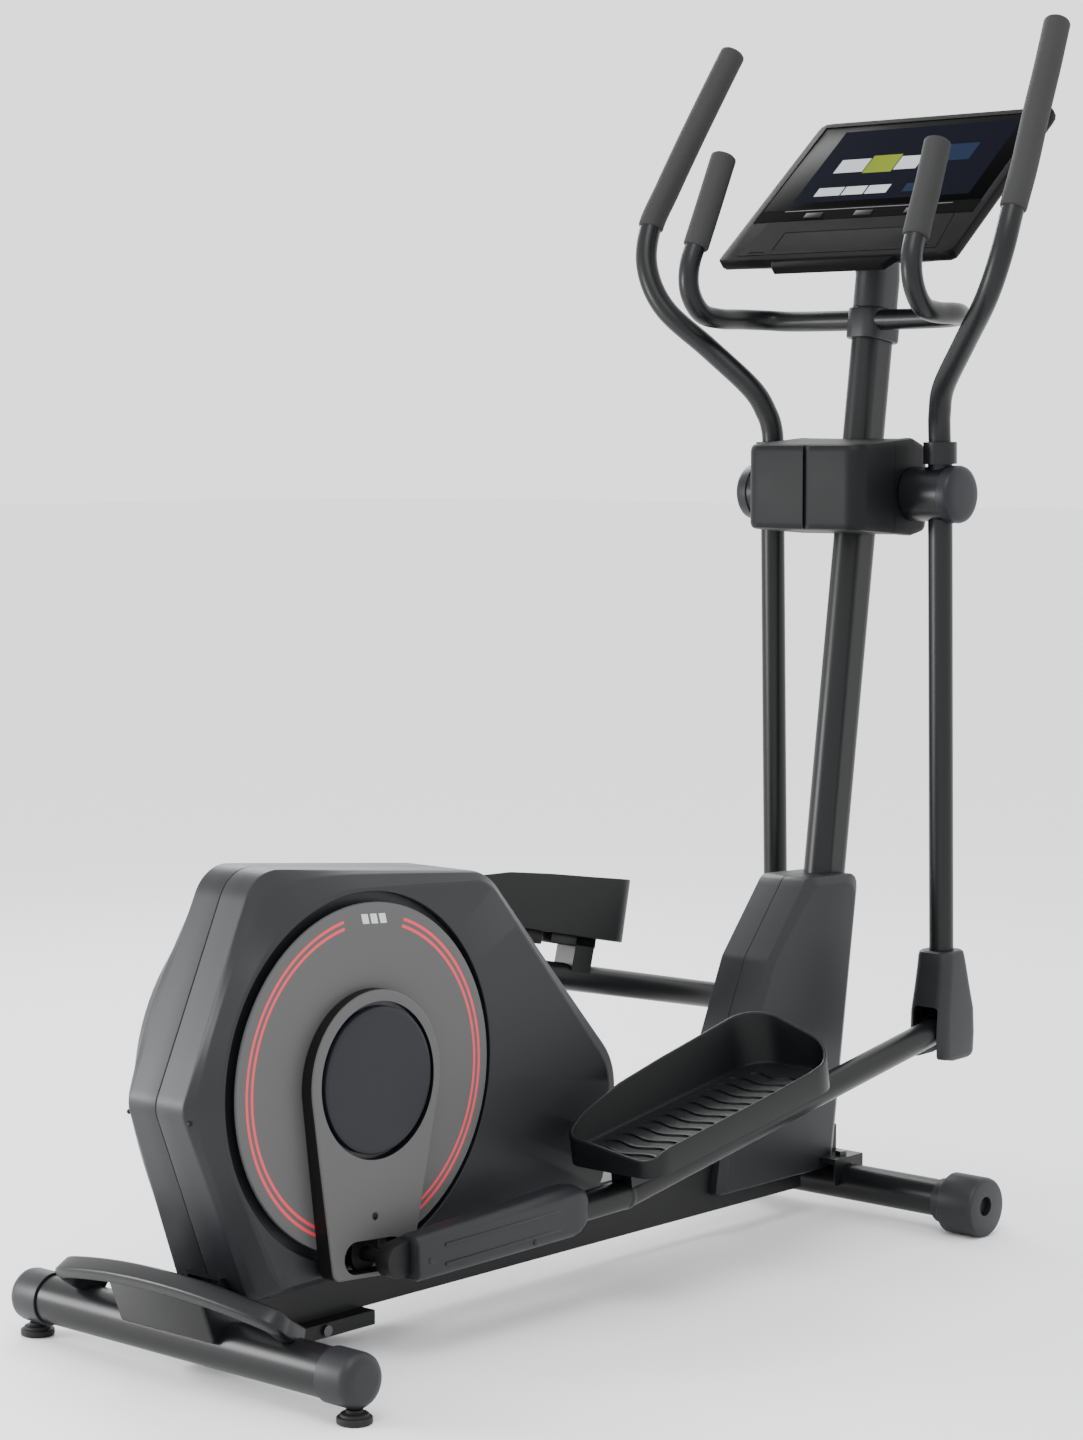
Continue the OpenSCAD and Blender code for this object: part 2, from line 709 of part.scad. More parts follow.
// Shell over the fork, with a slot at the back for the foot link
module boot(s) color(shell_c) on_swing(s) translate([arm_x, 0, -swing_l]) difference() {
  boot_solid(0);
  boot_solid(shell_t);
  translate([0, 0, -60]) block([-26, -60, 0], [22, 0, 96]);
  block([-29, -42, -60], [29, 40, -30]);
  translate([0, 0, 60]) cylinder(r = swing_tube_r + 0.4, h = 80);
}

module boot_solid(inset) {
  hull() {
    translate([0, 0, -40 + inset]) linear_extrude(2) round_rect(66 - 2 * inset, 92 - 2 * inset, 16);
    translate([0, 2, 26]) linear_extrude(2) round_rect(66 - 2 * inset, 86 - 2 * inset, 16);
    translate([0, 0, 111 - inset]) linear_extrude(2) round_rect(58 - 2 * inset, 54 - 2 * inset, 16);
  }
}

// ---------- foot links and pedals ----------

module foot_link(s) color(frame_c) on_link(s) difference() {
  union() {
    // Front sleeve, the two tube runs, and the rear bearing block
    rod_x(21, arm_x - 19.5, arm_x + 19.5);
    translate([arm_x, 0, 0]) rotate([90 + front_slope, 0, 0]) cylinder(r = link_tube_r, h = sqrt(bow_back * bow_back + bow_drop * bow_drop));
    translate([arm_x, -bow_back, -bow_drop]) sphere(r = link_tube_r + 0.8);
    translate([arm_x, -link_l, 0]) rotate([-90 - rear_slope, 0, 0]) translate([0, 0, 52])
      cylinder(r = link_tube_r, h = sqrt(pow(link_l - bow_back, 2) + bow_drop * bow_drop) - 52);
    translate([link_in, -link_l + 26, 0]) rotate([0, 90, 0]) linear_extrude(22) oval(40, 92);
    // Pedal brackets
    for (d = [90, 310]) translate([0, d - pedal_back, 0])
      block([arm_x - 17, -20, -bow_drop + 12], [arm_x + 17, 20, pedal_rise + d * sin(pedal_tilt) - 8]);
    for (d = [90, 310]) translate([0, d - pedal_back, pedal_rise + d * sin(pedal_tilt) - 8])
      rotate([pedal_tilt, 0, 0]) block([arm_x - 17, -22, -6], [pedal_x + 52, 22, 0]);
  }
  rod_x(link_pin_r + run, 0, 300);
}

module link_cover(s) color(shell_c) on_link(s)
  translate([arm_x, -link_l, 0]) rotate([-rear_slope, 0, 0]) difference() {
    hull() {
      translate([0, 17, 0]) rotate([-90, 0, 0]) linear_extrude(2) round_rect(39, 56, 14);
      translate([0, 305, 2]) rotate([-90, 0, 0]) linear_extrude(2) round_rect(43, 66, 16);
      translate([0, 325, 4]) rotate([-90, 0, 0]) linear_extrude(2) round_rect(40, 50, 16);
    }
    rotate([-90, 0, 0]) cylinder(r = link_tube_r + 0.2, h = 500);
    block([-60, 0, -40], [3.4, 76, 40]);
  }

module pedal(s) color(shell_c) on_link(s)
  translate([pedal_x, -pedal_back, pedal_rise]) rotate([pedal_tilt, 0, 0]) difference() {
    translate([0, pedal_l / 2, -16]) linear_extrude(116) pedal_outline(0);
    translate([0, pedal_l / 2, 0]) linear_extrude(116) pedal_outline(5);
    // Hollow underside, down to the brackets
    translate([0, pedal_l / 2, -17]) linear_extrude(11) pedal_outline(5);
    // Low outer rim, high inner rim and toe, and a fall to the rear lip
    translate([0, 0, 66]) rotate([0.5, 33, 0]) block([-300, -60, 0], [300, 500, 200]);
    translate([0, 0, 50]) rotate([5, 0, 0]) block([-200, -60, 0], [200, 500, 200]);
    translate([0, 10, 20]) rotate([20.3, 0, 0]) block([-200, -60, 0], [200, 500, 200]);
  }

// Plan of the pedal: long, with a fully rounded front
module pedal_outline(inset) {
  hull() {
    for (sx = [-1, 1]) {
      translate([sx * (pedal_w / 2 - 24), -pedal_l / 2 + 24]) circle(r = 24 - inset, $fn = 32);
      translate([sx * (pedal_w / 2 - 50), pedal_l / 2 - 50]) circle(r = 50 - inset, $fn = 32);
    }
  }
}

// ---------- handlebar and console ----------

module fixed_handlebar() color(frame_c)
  swept_bar(spline(at_fixed(concat(mirrored(past_middle(concat(fixed_half, past_middle(fixed_grip)))), fixed_half, past_middle(fixed_grip))), 3), handle_r - 1, [1, 1, 1]);

module fixed_grips() color(foam_c) both_sides() difference() {
  swept_bar(spline(at_fixed(fixed_grip), 5), grip_r, [1, 1, 1]);
  swept_bar(spline(at_fixed(concat([fixed_half[8]], fixed_grip, [[187, -69, 1580]])), 5), handle_r - 0.9, [1, 1, 1]);
}

module handlebar_clamp() color(shell_c) difference() {
  on_post() {
    translate([0, 0, 1144]) linear_extrude(42) round_rect(62, 88, 20);
    translate([0, -12, 1186]) linear_extrude(50) round_rect(34, 20, 8);
  }
  on_post() translate([0, 0, 1100]) linear_extrude(200) oval(post_w + 0.4, post_d + 0.4);
  translate([0, fixed_y, fixed_z]) rod_x(handle_r - 1 + gap, -100, 100);
}

module console_outline(inset) {
  hull() {
    for (sx = [-1, 1]) {
      translate([sx * (console_w / 2 - 10), 12]) circle(r = 10 - inset, $fn = 32);
      translate([sx * (console_w / 2 - 14), console_l - 14]) circle(r = 14 - inset, $fn = 32);
    }
  }
}

module console_front() color(shell_c) on_console() difference() {
  union() {
    translate([0, 0, -14]) linear_extrude(14) console_outline(0);
    // Tab under the lower edge
    translate([0, 0, -14]) linear_extrude(10) polygon([[-64, 4], [64, 4], [48, -16], [-48, -16]]);
  }
  // Seat of the display
  block([-console_w / 2 + 14, 122, -4], [console_w / 2 - 14, console_l - 12, 1]);
  // Sockets of the buttons
  for (x = [-90, 0, 90]) block([x - 16.4, 97.6, -9], [x + 16.4, 110.4, 1]);
  // Accessory tray
  block([-120, 22, -9], [120, 70, 1]);
}

module console_display() color(screen_c) on_console()
  block([-console_w / 2 + 14.2, 122.2, -3.8], [console_w / 2 - 14.2, console_l - 12.2, -0.6]);

module console_back() color(shell_c) difference() {
  union() {
    on_console() difference() {
      hull() {
        translate([0, 0, -16]) linear_extrude(1.8) console_outline(2);
        translate([0, 0, -44]) linear_extrude(2) translate([0, 40]) round_rect_at(300, 200, 30);
      }
      hull() {
        translate([0, 0, -15]) linear_extrude(1.8) console_outline(5);
        translate([0, 0, -41]) linear_extrude(2) translate([0, 43]) round_rect_at(294, 194, 28);
      }
    }
    // Neck, from the post to the back of the console
    hull() {
      on_post() translate([0, 0, post_l - 70]) linear_extrude(40) round_rect(post_w + 12, post_d + 12, 22);
      on_console() translate([0, 56, -45]) linear_extrude(2) round_rect_at(118, 110, 24);
    }
  }
  on_post() translate([0, 0, post_l - 100]) linear_extrude(100.5) oval(post_w + 0.6, post_d + 0.6);
  on_console() translate([0, 0, -41]) linear_extrude(60) translate([0, 43]) round_rect_at(294, 194, 28);
}

module round_rect_at(w, l, r) {
  translate([0, l / 2]) round_rect(w, l, r);
}

module console_button(x) color(cap_c) on_console()
  block([x - 16, 98, -7.4], [x + 16, 110, 1.6]);

// ---------- nodes ----------

main_frame();
rear_stabilizer();
rear_end_caps();
lift_handle();
front_stabilizer();
front_wheel_housings();
upright_post();
post_shroud(-1);  // left_post_shroud
post_shroud(1);  // right_post_shroud
pod_half(false);  // pod_rear_cover
pod_half(true);  // pod_front_cover
pivot_axle();
drive_cover(-1);  // left_drive_cover
drive_cover(1);  // right_drive_cover
fixed_handlebar();
fixed_grips();
handlebar_clamp();
console_front();
console_back();
console_display();
crank_bearings();
flywheel_axle();
brake_magnets();
idler_arm();
resistance_motor();
drive_belt();
power_inlet();
frame_bolts();
crank_axle();
drive_pulley();
crank_arms();
crank_discs();
crank_cover(-1);  // left_crank_cover
crank_cover(1);  // right_crank_cover
hub_caps();
flywheel();
idler_pulley();
swing_arm(-1);  // left_swing_arm
swing_arm(1);  // right_swing_arm
handlebar(-1);  // left_handlebar
handlebar(1);  // right_handlebar
grip(-1);  // left_grip
grip(1);  // right_grip
pivot_cap(-1);  // left_pivot_cap
pivot_cap(1);  // right_pivot_cap
boot(-1);  // left_boot
boot(1);  // right_boot
foot_link(-1);  // left_foot_link
foot_link(1);  // right_foot_link
link_cover(-1);  // left_link_cover
link_cover(1);  // right_link_cover
pedal(-1);  // left_pedal
pedal(1);  // right_pedal
transport_wheel(-1);  // left_wheel
transport_wheel(1);  // right_wheel
levelling_foot(-1);  // left_levelling_foot
levelling_foot(1);  // right_levelling_foot
console_button(0);  // start_button
console_button(90);  // resistance_up_button
console_button(-90);  // resistance_down_button
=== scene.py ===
"""Looks of the elliptical trainer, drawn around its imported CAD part.

Shapes are drawn in millimetres, in the frame of the group they belong to, and are placed by a
matrix that scales them to metres. Paired parts are drawn once, for the right side, and mirrored.
"""

import json
import math

import bmesh
import bpy
from mathutils import Matrix, Vector, geometry


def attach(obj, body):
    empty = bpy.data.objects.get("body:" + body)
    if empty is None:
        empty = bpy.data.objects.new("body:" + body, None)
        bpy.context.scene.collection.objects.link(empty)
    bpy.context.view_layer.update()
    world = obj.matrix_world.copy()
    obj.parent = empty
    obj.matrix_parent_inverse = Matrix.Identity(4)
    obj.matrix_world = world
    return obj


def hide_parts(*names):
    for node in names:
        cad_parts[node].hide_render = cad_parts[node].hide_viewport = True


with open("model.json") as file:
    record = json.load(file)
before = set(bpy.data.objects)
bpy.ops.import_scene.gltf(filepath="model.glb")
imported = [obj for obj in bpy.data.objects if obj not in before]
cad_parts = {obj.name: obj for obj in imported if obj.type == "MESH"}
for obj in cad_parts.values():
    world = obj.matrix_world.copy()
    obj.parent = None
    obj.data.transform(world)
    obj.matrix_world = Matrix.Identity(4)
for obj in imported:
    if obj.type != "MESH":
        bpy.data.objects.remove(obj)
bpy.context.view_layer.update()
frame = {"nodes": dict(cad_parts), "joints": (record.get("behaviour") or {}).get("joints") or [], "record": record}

# ---------- stations, in metres, from the part's own joints ----------

record = frame["record"]
joint_at = {}
for joint in frame["joints"]:
    if "pos_m" in joint:
        joint_at[joint["name"]] = Vector(joint["pos_m"])
MM = 0.001
crank_at = joint_at["crank_turn"]
arm_x = joint_at["right_swing"].x / MM
swing_at = Vector((0, joint_at["right_swing"].y, joint_at["right_swing"].z))
pivot_at = Vector((0, joint_at["right_link_turn"].y, joint_at["right_link_turn"].z))
rear_at = Vector((0, joint_at["right_foot_screw"].y, 0))
# Distance from the rear stabilizer to the front one
FRONT_AHEAD = 1207
front_at = rear_at + Vector((0, FRONT_AHEAD * MM, 0))

body_of = {}
for body_name, members in record["behaviour"]["bodies"].items():
    for member in members:
        body_of[member] = body_name
slot_of = {part["node"]: part["material_slot"] for part in record["subparts"]}

# ---------- frames of the moving groups, from millimetres to metres ----------

CRANK_R = 212
crank_tilt = math.atan2(crank_at.z - pivot_at.z, pivot_at.y - crank_at.y)
swing_lean = math.atan2(pivot_at.y - swing_at.y, swing_at.z - pivot_at.z)
swing_l = (pivot_at - swing_at).length / MM
link_l = math.hypot((pivot_at - crank_at).length / MM, CRANK_R)
# The link's tube bends down at a point this far ahead of the crank pin, and this far below its line
BOW_AHEAD = 412
BOW_DROP = 39.5
rear_slope = math.atan2(BOW_DROP, BOW_AHEAD)
# Lean of the post and of the console
POST_LEAN = math.radians(-7.84)
CONSOLE_LEAN = math.radians(40.5)


def group_frame(origin, turn=0.0):
    """Frame at a point, turned about X."""
    return Matrix.Translation(origin) @ Matrix.Rotation(turn, 4, "X") @ Matrix.Scale(MM, 4)


def crank_frame(side):
    """Frame on the crank axis, with the arm of that side pointing down."""
    return group_frame(crank_at, (0 if side > 0 else math.pi) - crank_tilt)


def link_turn(side):
    """Slope of the right or left foot link, from its crank pin up to its front pivot."""
    reach = CRANK_R * MM * side
    pin_y = crank_at.y - reach * math.sin(crank_tilt)
    pin_z = crank_at.z - reach * math.cos(crank_tilt)
    return math.atan2(pivot_at.z - pin_z, pivot_at.y - pin_y)


def link_frame(side):
    """Frame at the front pivot, along the foot link of that side."""
    return group_frame(pivot_at, link_turn(side))


def shift(x, y, z):
    return Matrix.Translation((x, y, z))


def turn_x(degrees):
    return Matrix.Rotation(math.radians(degrees), 4, "X")


swing_frame = group_frame(swing_at, swing_lean)
floor_frame = group_frame(rear_at)
post_frame = group_frame(front_at + Vector((0, -0.018, 0.118)), POST_LEAN)
console_frame = group_frame(rear_at + Vector((0, 1.242, 1.366)), CONSOLE_LEAN)
pivot_frame = group_frame(Vector((0, swing_at.y, 0)))


# ---------- materials ----------


def principled(name, colour, roughness, metallic=0.0, specular=0.5):
    """A new material and its main shader."""
    material = bpy.data.materials.new(name)
    material.use_nodes = True
    shader = material.node_tree.nodes["Principled BSDF"]
    shader.inputs["Base Color"].default_value = (*colour, 1)
    shader.inputs["Roughness"].default_value = roughness
    shader.inputs["Metallic"].default_value = metallic
    shader.inputs["Specular IOR Level"].default_value = specular
    return material, shader


def grain(material, shader, scale, height):
    """Fine moulded or foamed texture, in the object's own coordinates."""
    tree = material.node_tree
    coordinates = tree.nodes.new("ShaderNodeTexCoord")
    noise = tree.nodes.new("ShaderNodeTexNoise")
    noise.inputs["Scale"].default_value = scale
    noise.inputs["Detail"].default_value = 2.0
    bump = tree.nodes.new("ShaderNodeBump")
    bump.inputs["Strength"].default_value = 0.35
    bump.inputs["Distance"].default_value = height
    tree.links.new(coordinates.outputs["Object"], noise.inputs["Vector"])
    tree.links.new(noise.outputs["Fac"], bump.inputs["Height"])
    tree.links.new(bump.outputs["Normal"], shader.inputs["Normal"])
    return noise


def mottle(material, shader, noise, low, high):
    """Slight change of roughness over the surface, so that large faces aren't perfectly even."""
    tree = material.node_tree
    wide = tree.nodes.new("ShaderNodeTexNoise")
    wide.inputs["Scale"].default_value = 7.0
    spread = tree.nodes.new("ShaderNodeMapRange")
    spread.inputs["To Min"].default_value = low
    spread.inputs["To Max"].default_value = high
    tree.links.new(noise.inputs["Vector"].links[0].from_socket, wide.inputs["Vector"])
    tree.links.new(wide.outputs["Fac"], spread.inputs["Value"])
    tree.links.new(spread.outputs["Result"], shader.inputs["Roughness"])


def plastic(name, colour, roughness, scale=900.0, height=0.0002, specular=0.3):
    """Moulded plastic, foam or powder coat with a fine grain."""
    material, shader = principled(name, colour, roughness, specular=specular)
    noise = grain(material, shader, scale, height)
    mottle(material, shader, noise, roughness - 0.05, roughness + 0.05)
    return material


def metal(name, colour, roughness):
    """Turned or plated metal with faint marks."""
    material, shader = principled(name, colour, roughness, metallic=1.0)
    noise = grain(material, shader, 420.0, 0.00004)
    mottle(material, shader, noise, roughness - 0.06, roughness + 0.06)
    return material


def plain(name, colour, roughness, specular=0.3):
    """Smooth glass or print, and the floor."""
    return principled(name, colour, roughness, specular=specular)[0]


# One material for each slot of the record
MATERIALS = {
    "frame_paint": plastic("frame_paint", (0.005, 0.0053, 0.006), 0.34, 500.0, 0.00006, specular=0.24),
    "shell_plastic": plastic("shell_plastic", (0.0085, 0.0095, 0.0115), 0.45),
    "grey_plastic": plastic("grey_plastic", (0.066, 0.066, 0.067), 0.46),
    "cap_plastic": plastic("cap_plastic", (0.0068, 0.0078, 0.0105), 0.42, specular=0.24),
    "pedal_plastic": plastic("pedal_plastic", (0.0034, 0.0038, 0.0044), 0.42, specular=0.22),
    "grip_foam": plastic("grip_foam", (0.021, 0.0212, 0.0216), 0.78, 650.0, 0.0009),
    "steel": metal("steel", (0.10, 0.10, 0.105), 0.35),
    "flywheel_iron": metal("flywheel_iron", (0.16, 0.16, 0.165), 0.4),
    "belt_rubber": plastic("belt_rubber", (0.012, 0.012, 0.012), 0.7),
    "foot_rubber": plastic("foot_rubber", (0.006, 0.006, 0.0065), 0.62),
    "display_glass": plain("display_glass", (0.0012, 0.0012, 0.0016), 0.25, specular=0.008),
    "button_plastic": plastic("button_plastic", (0.006, 0.006, 0.0065), 0.4, specular=0.08),
    "inlet_plastic": plastic("inlet_plastic", (0.01, 0.01, 0.01), 0.5),
}
# Finishes of smaller areas, and materials for painted shade
red_line = plain("red_line", (0.6, 0.035, 0.055), 0.4)
pale_mark = plain("pale_mark", (0.5, 0.51, 0.52), 0.4)
screw_steel = metal("screw_steel", (0.02, 0.02, 0.022), 0.35)
# Painted shade: a darker, less glossy copy of the shell plastic, which dims the pod
pod_painted_shade = plastic("pod_painted_shade", (0.0032, 0.0035, 0.0042), 0.5, specular=0.16)
# Near-black plastic: the colour of the small housing screws, and painted shade on the crank covers' walls, the
# link collars and the crank arms
painted_shade_and_black = plastic("painted_shade_and_black", (0.003, 0.003, 0.0034), 0.5, specular=0.25)
console_margin = plastic("console_margin", (0.002, 0.002, 0.0023), 0.4, specular=0.06)
console_tray = plastic("console_tray", (0.0034, 0.0036, 0.0034), 0.5, specular=0.03)
screen_navy = plain("screen_navy", (0.0016, 0.002, 0.006), 0.25, specular=0.008)
screen_white = plain("screen_white", (0.36, 0.37, 0.39), 0.25, specular=0.008)
screen_green = plain("screen_green", (0.13, 0.17, 0.015), 0.25, specular=0.008)
screen_blue = plain("screen_blue", (0.008, 0.014, 0.034), 0.25, specular=0.008)


# ---------- shape builders: each returns a bmesh in millimetres ----------


def loft(rings, cap_start=True, cap_end=True):
    """Skin over closed rings that have the same number of points."""
    shape = bmesh.new()
    rows = [[shape.verts.new(point) for point in one] for one in rings]
    count = len(rows[0])
    for near, far in zip(rows, rows[1:]):
        for i in range(count):
            j = (i + 1) % count
            shape.faces.new((near[i], near[j], far[j], far[i]))
    if cap_start:
        shape.faces.new(list(reversed(rows[0])))
    if cap_end:
        shape.faces.new(rows[-1])
    bmesh.ops.recalc_face_normals(shape, faces=shape.faces)
    return shape


def circle(radius, count, lift=lambda c, s: (c, s, 0.0)):
    """Points of a circle; lift turns a cosine and a sine into a point."""
    points = []
    for k in range(count):
        angle = 2 * math.pi * k / count
        points.append(lift(radius * math.cos(angle), radius * math.sin(angle)))
    return points


# A lathed shape ends in a tiny ring and not in a point
LEAST_R = 0.02


def lathe_x(profile, count=96):
    """Solid of revolution about X, from pairs of x and radius."""
    rings = []
    for x, radius in profile:
        rings.append(circle(max(radius, LEAST_R), count, lambda c, s, x=x: (x, c, s)))
    return loft(rings)


def lathe_z(profile, count=64):
    """Solid of revolution about Z, from pairs of z and radius."""
    rings = []
    for z, radius in profile:
        rings.append(circle(max(radius, LEAST_R), count, lambda c, s, z=z: (c, s, z)))
    return loft(rings)


def box(low, high, edge=0.0, steps=2):
    """Box from its lowest to its highest corner, with its edges rounded."""
    shape = bmesh.new()
    bmesh.ops.create_cube(shape, size=1.0)
    for vert in shape.verts:
        for axis in range(3):
            vert.co[axis] = low[axis] if vert.co[axis] < 0 else high[axis]
    if edge > 0:
        round_edges(shape, edge, steps)
    return shape


def round_edges(shape, width, steps=2, least=25.0):
    """Rounds every edge that is sharper than the given angle."""
    sharp = []
    for edge in shape.edges:
        if len(edge.link_faces) == 2 and edge.calc_face_angle(0.0) > math.radians(least):
            sharp.append(edge)
    bmesh.ops.bevel(
        shape, geom=sharp, offset=width, segments=steps, profile=0.5, affect="EDGES", clamp_overlap=True,
    )


def rectangle(width, depth, radius, steps=8):
    """Corner points of a rounded rectangle about its centre, as pairs."""
    points = []
    for corner in range(4):
        sign_x = 1 if corner in (0, 3) else -1
        sign_y = 1 if corner in (0, 1) else -1
        for k in range(steps + 1):
            angle = math.pi / 2 * (corner + k / steps)
            x = sign_x * (width / 2 - radius) + radius * math.cos(angle)
            y = sign_y * (depth / 2 - radius) + radius * math.sin(angle)
            points.append((x, y))
    return points


ROLLER_STEPS = 96


def outline(rollers, centre, count, inset=0.0):
    """Band stretched round circles, as points at even angles about a centre.

    Each roller is two coordinates and a radius.
    """
    cloud = []
    for a, b, radius in rollers:
        size = radius - inset
        cloud += circle(size, ROLLER_STEPS, lambda c, s: (a + c, b + s))
    hull = [cloud[i] for i in geometry.convex_hull_2d(cloud)]
    points = []
    for k in range(count):
        angle = 2 * math.pi * k / count
        ray = (math.cos(angle), math.sin(angle))
        points.append(hit(hull, centre, ray))
    return points


def hit(hull, centre, ray):
    """Where a ray from a centre inside the hull leaves it."""
    reach = 0.0
    for (ax, ay), (bx, by) in zip(hull, hull[1:] + hull[:1]):
        ex, ey = bx - ax, by - ay
        cross = ray[0] * ey - ray[1] * ex
        if abs(cross) < 1e-9:
            continue
        dx, dy = ax - centre[0], ay - centre[1]
        along = (dx * ey - dy * ex) / cross
        part = (dx * ray[1] - dy * ray[0]) / cross
        if along > 0 and -1e-6 <= part <= 1 + 1e-6:
            reach = max(reach, along)
    return (centre[0] + reach * ray[0], centre[1] + reach * ray[1])


def toward(near, far, share):
    """Points part of the way from one outline to another."""
    return [tuple(a + (b - a) * share for a, b in zip(p, q)) for p, q in zip(near, far)]


def spline(points, steps):
    """Smooth curve through points."""
    path = []
    for i in range(len(points) - 1):
        a = Vector(points[max(i - 1, 0)])
        b = Vector(points[i])
        c = Vector(points[i + 1])
        d = Vector(points[min(i + 2, len(points) - 1)])
        for k in range(steps):
            t = k / steps
            square = 2 * a - 5 * b + 4 * c - d
            cube = 3 * b - a - 3 * c + d
            path.append(0.5 * (2 * b + (c - a) * t + square * t * t + cube * t**3))
    path.append(Vector(points[-1]))
    return path


def sweep(path, section, up):
    """Skin of a section, as pairs, carried along a path. The section may depend on the step."""
    rings = []
    last = len(path) - 1
    side = Vector(up)
    for i, at in enumerate(path):
        ahead = (path[min(i + 1, last)] - path[max(i - 1, 0)]).normalized()
        side = (side - ahead * side.dot(ahead)).normalized()
        over = ahead.cross(side)
        pairs = section(i) if callable(section) else section
        rings.append([at + side * a + over * b for a, b in pairs])
    return loft(rings)


# Steps in from a rounded end: place in the path, and share of the rounding taken off the radius
END_STEPS = [(0, 1.0), (1, 0.3), (2, 0.0)]


def tube(path, radius, up=(1, 0, 0), count=28, end_round=0.0):
    """Round tube along a path; its ends can be rounded."""
    if end_round > 0:
        path = rounded_ends(path, end_round)

    def section(i):
        size = radius
        if end_round > 0:
            for offset, share in END_STEPS:
                if i == offset or i == len(path) - 1 - offset:
                    size = radius - end_round * share
        return circle(size, count, lambda c, s: (c, s))

    return sweep(path, section, up)


def rounded_ends(path, size):
    """The path with extra points near both ends, for their rounding."""
    first = (path[1] - path[0]).normalized()
    final = (path[-2] - path[-1]).normalized()
    start = [path[0], path[0] + first * size * 0.3, path[0] + first * size]
    finish = [path[-1] + final * size, path[-1] + final * size * 0.3, path[-1]]
    clear = size * 1.5
    middle = []
    for point in path[1:-1]:
        if (point - path[0]).length > clear and (point - path[-1]).length > clear:
            middle.append(point)
    return start + middle + finish


def joined(*shapes):
    """One bmesh from several; the others are used up."""
    whole = shapes[0]
    for other in shapes[1:]:
        mesh = bpy.data.meshes.new("part")
        other.to_mesh(mesh)
        other.free()
        whole.from_mesh(mesh)
        bpy.data.meshes.remove(mesh)
    return whole


def moved(shape, matrix):
    """The same shape, after a matrix."""
    bmesh.ops.transform(shape, matrix=matrix, verts=shape.verts)
    return shape


def loose_object(shape):
    """Short-lived object that holds a bmesh, for the boolean tool."""
    mesh = bpy.data.meshes.new("loose")
    shape.to_mesh(mesh)
    shape.free()
    thing = bpy.data.objects.new("loose", mesh)
    bpy.context.scene.collection.objects.link(thing)
    return thing


def cut(shape, *cutters):
    """The shape with the cutters taken out of it."""
    body = loose_object(shape)
    tools = []
    for cutter in cutters:
        tool = loose_object(cutter)
        tools.append(tool)
        step = body.modifiers.new("cut", "BOOLEAN")
        step.operation = "DIFFERENCE"
        step.solver = "EXACT"
        step.object = tool
    bpy.context.view_layer.update()
    solved = body.evaluated_get(bpy.context.evaluated_depsgraph_get())
    mesh = bpy.data.meshes.new_from_object(solved)
    result = bmesh.new()
    result.from_mesh(mesh)
    bpy.data.meshes.remove(mesh)
    for thing in [body, *tools]:
        used = thing.data
        bpy.data.objects.remove(thing)
        bpy.data.meshes.remove(used)
    return result


def half(shape, point, direction):
    """Cuts a shape at a plane, and drops the part on the side that the direction points to."""
    everything = shape.verts[:] + shape.edges[:] + shape.faces[:]
    bmesh.ops.bisect_plane(shape, geom=everything, plane_co=point, plane_no=direction, clear_outer=True)
    return shape


def place(name, shape, matrix, side=1, node=None, body=None, slot=None, paint=(), sharp=32.0, pick=None):
    """Makes the shape an object that rides on its body, and stands for its CAD node.

    paint lists more materials, and pick gives the number of a face's material. Edges sharper than
    the angle in sharp stay hard.
    """
    mesh = bpy.data.meshes.new(name)
    if pick:
        for face in shape.faces:
            face.material_index = pick(face)
    if side < 0:
        moved(shape, Matrix.Scale(-1, 4, (1, 0, 0)))
        bmesh.ops.reverse_faces(shape, faces=shape.faces)
    moved(shape, matrix)
    shape.to_mesh(mesh)
    shape.free()
    for polygon in mesh.polygons:
        polygon.use_smooth = True
    mesh.set_sharp_from_angle(angle=math.radians(sharp))
    slot = slot or slot_of[node]
    mesh.materials.append(MATERIALS[slot])
    for extra in paint:
        mesh.materials.append(extra)
    thing = bpy.data.objects.new(name, mesh)
    bpy.context.scene.collection.objects.link(thing)
    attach(thing, body or body_of[node])
    if node:
        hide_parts(node)
    return thing


def side_name(side):
    return "right" if side > 0 else "left"


def painted(face):
    """Gives a whole piece the first of its extra materials."""
    return 1


def screw_x(x, y, z, radius=4.0):
    """Pan head screw facing +X, with a socket."""
    head = lathe_x([(x - 1, radius), (x + 0.8, radius), (x + 1.5, radius * 0.7)], 24)
    socket = lathe_x([(x + 0.9, radius * 0.42), (x + 1.6, radius * 0.42)], 6)
    return moved(joined(head, socket), shift(0, y, z))


# ---------- drive housing ----------

CRANK_AHEAD = (crank_at.y - rear_at.y) / MM
CRANK_Z = crank_at.z / MM
HOUSING_HALF = 78
RECESS_R = 226
RECESS_FLOOR = HOUSING_HALF - 12
# Hole in the recess for the crank axle
AXLE_HOLE_R = 40
HOUSING_STEPS = 360
# Share of the way from the band to the side where the two facets meet
RIDGE = 0.36
RIDGE_BULGE = 3.0
# Rounded corners of the flat side: two coordinates and radius
SIDE_ROLLERS = [
    (CRANK_AHEAD, CRANK_Z, 230),
    (413, 500, 58),
    (608, 264, 64),
    (623, 158, 40),
    (90, 124, 20),
]
# Rounded corners of the middle band: two coordinates, radius and half width
BAND_ROLLERS = [
    (104, 548, 52, 44),
    (421, 504, 65, 58),
    (621, 256, 85, 58),
    (639, 146, 40, 52),
    (57, 112, 22, 60),
    (-15, 330, 33, 48),
]


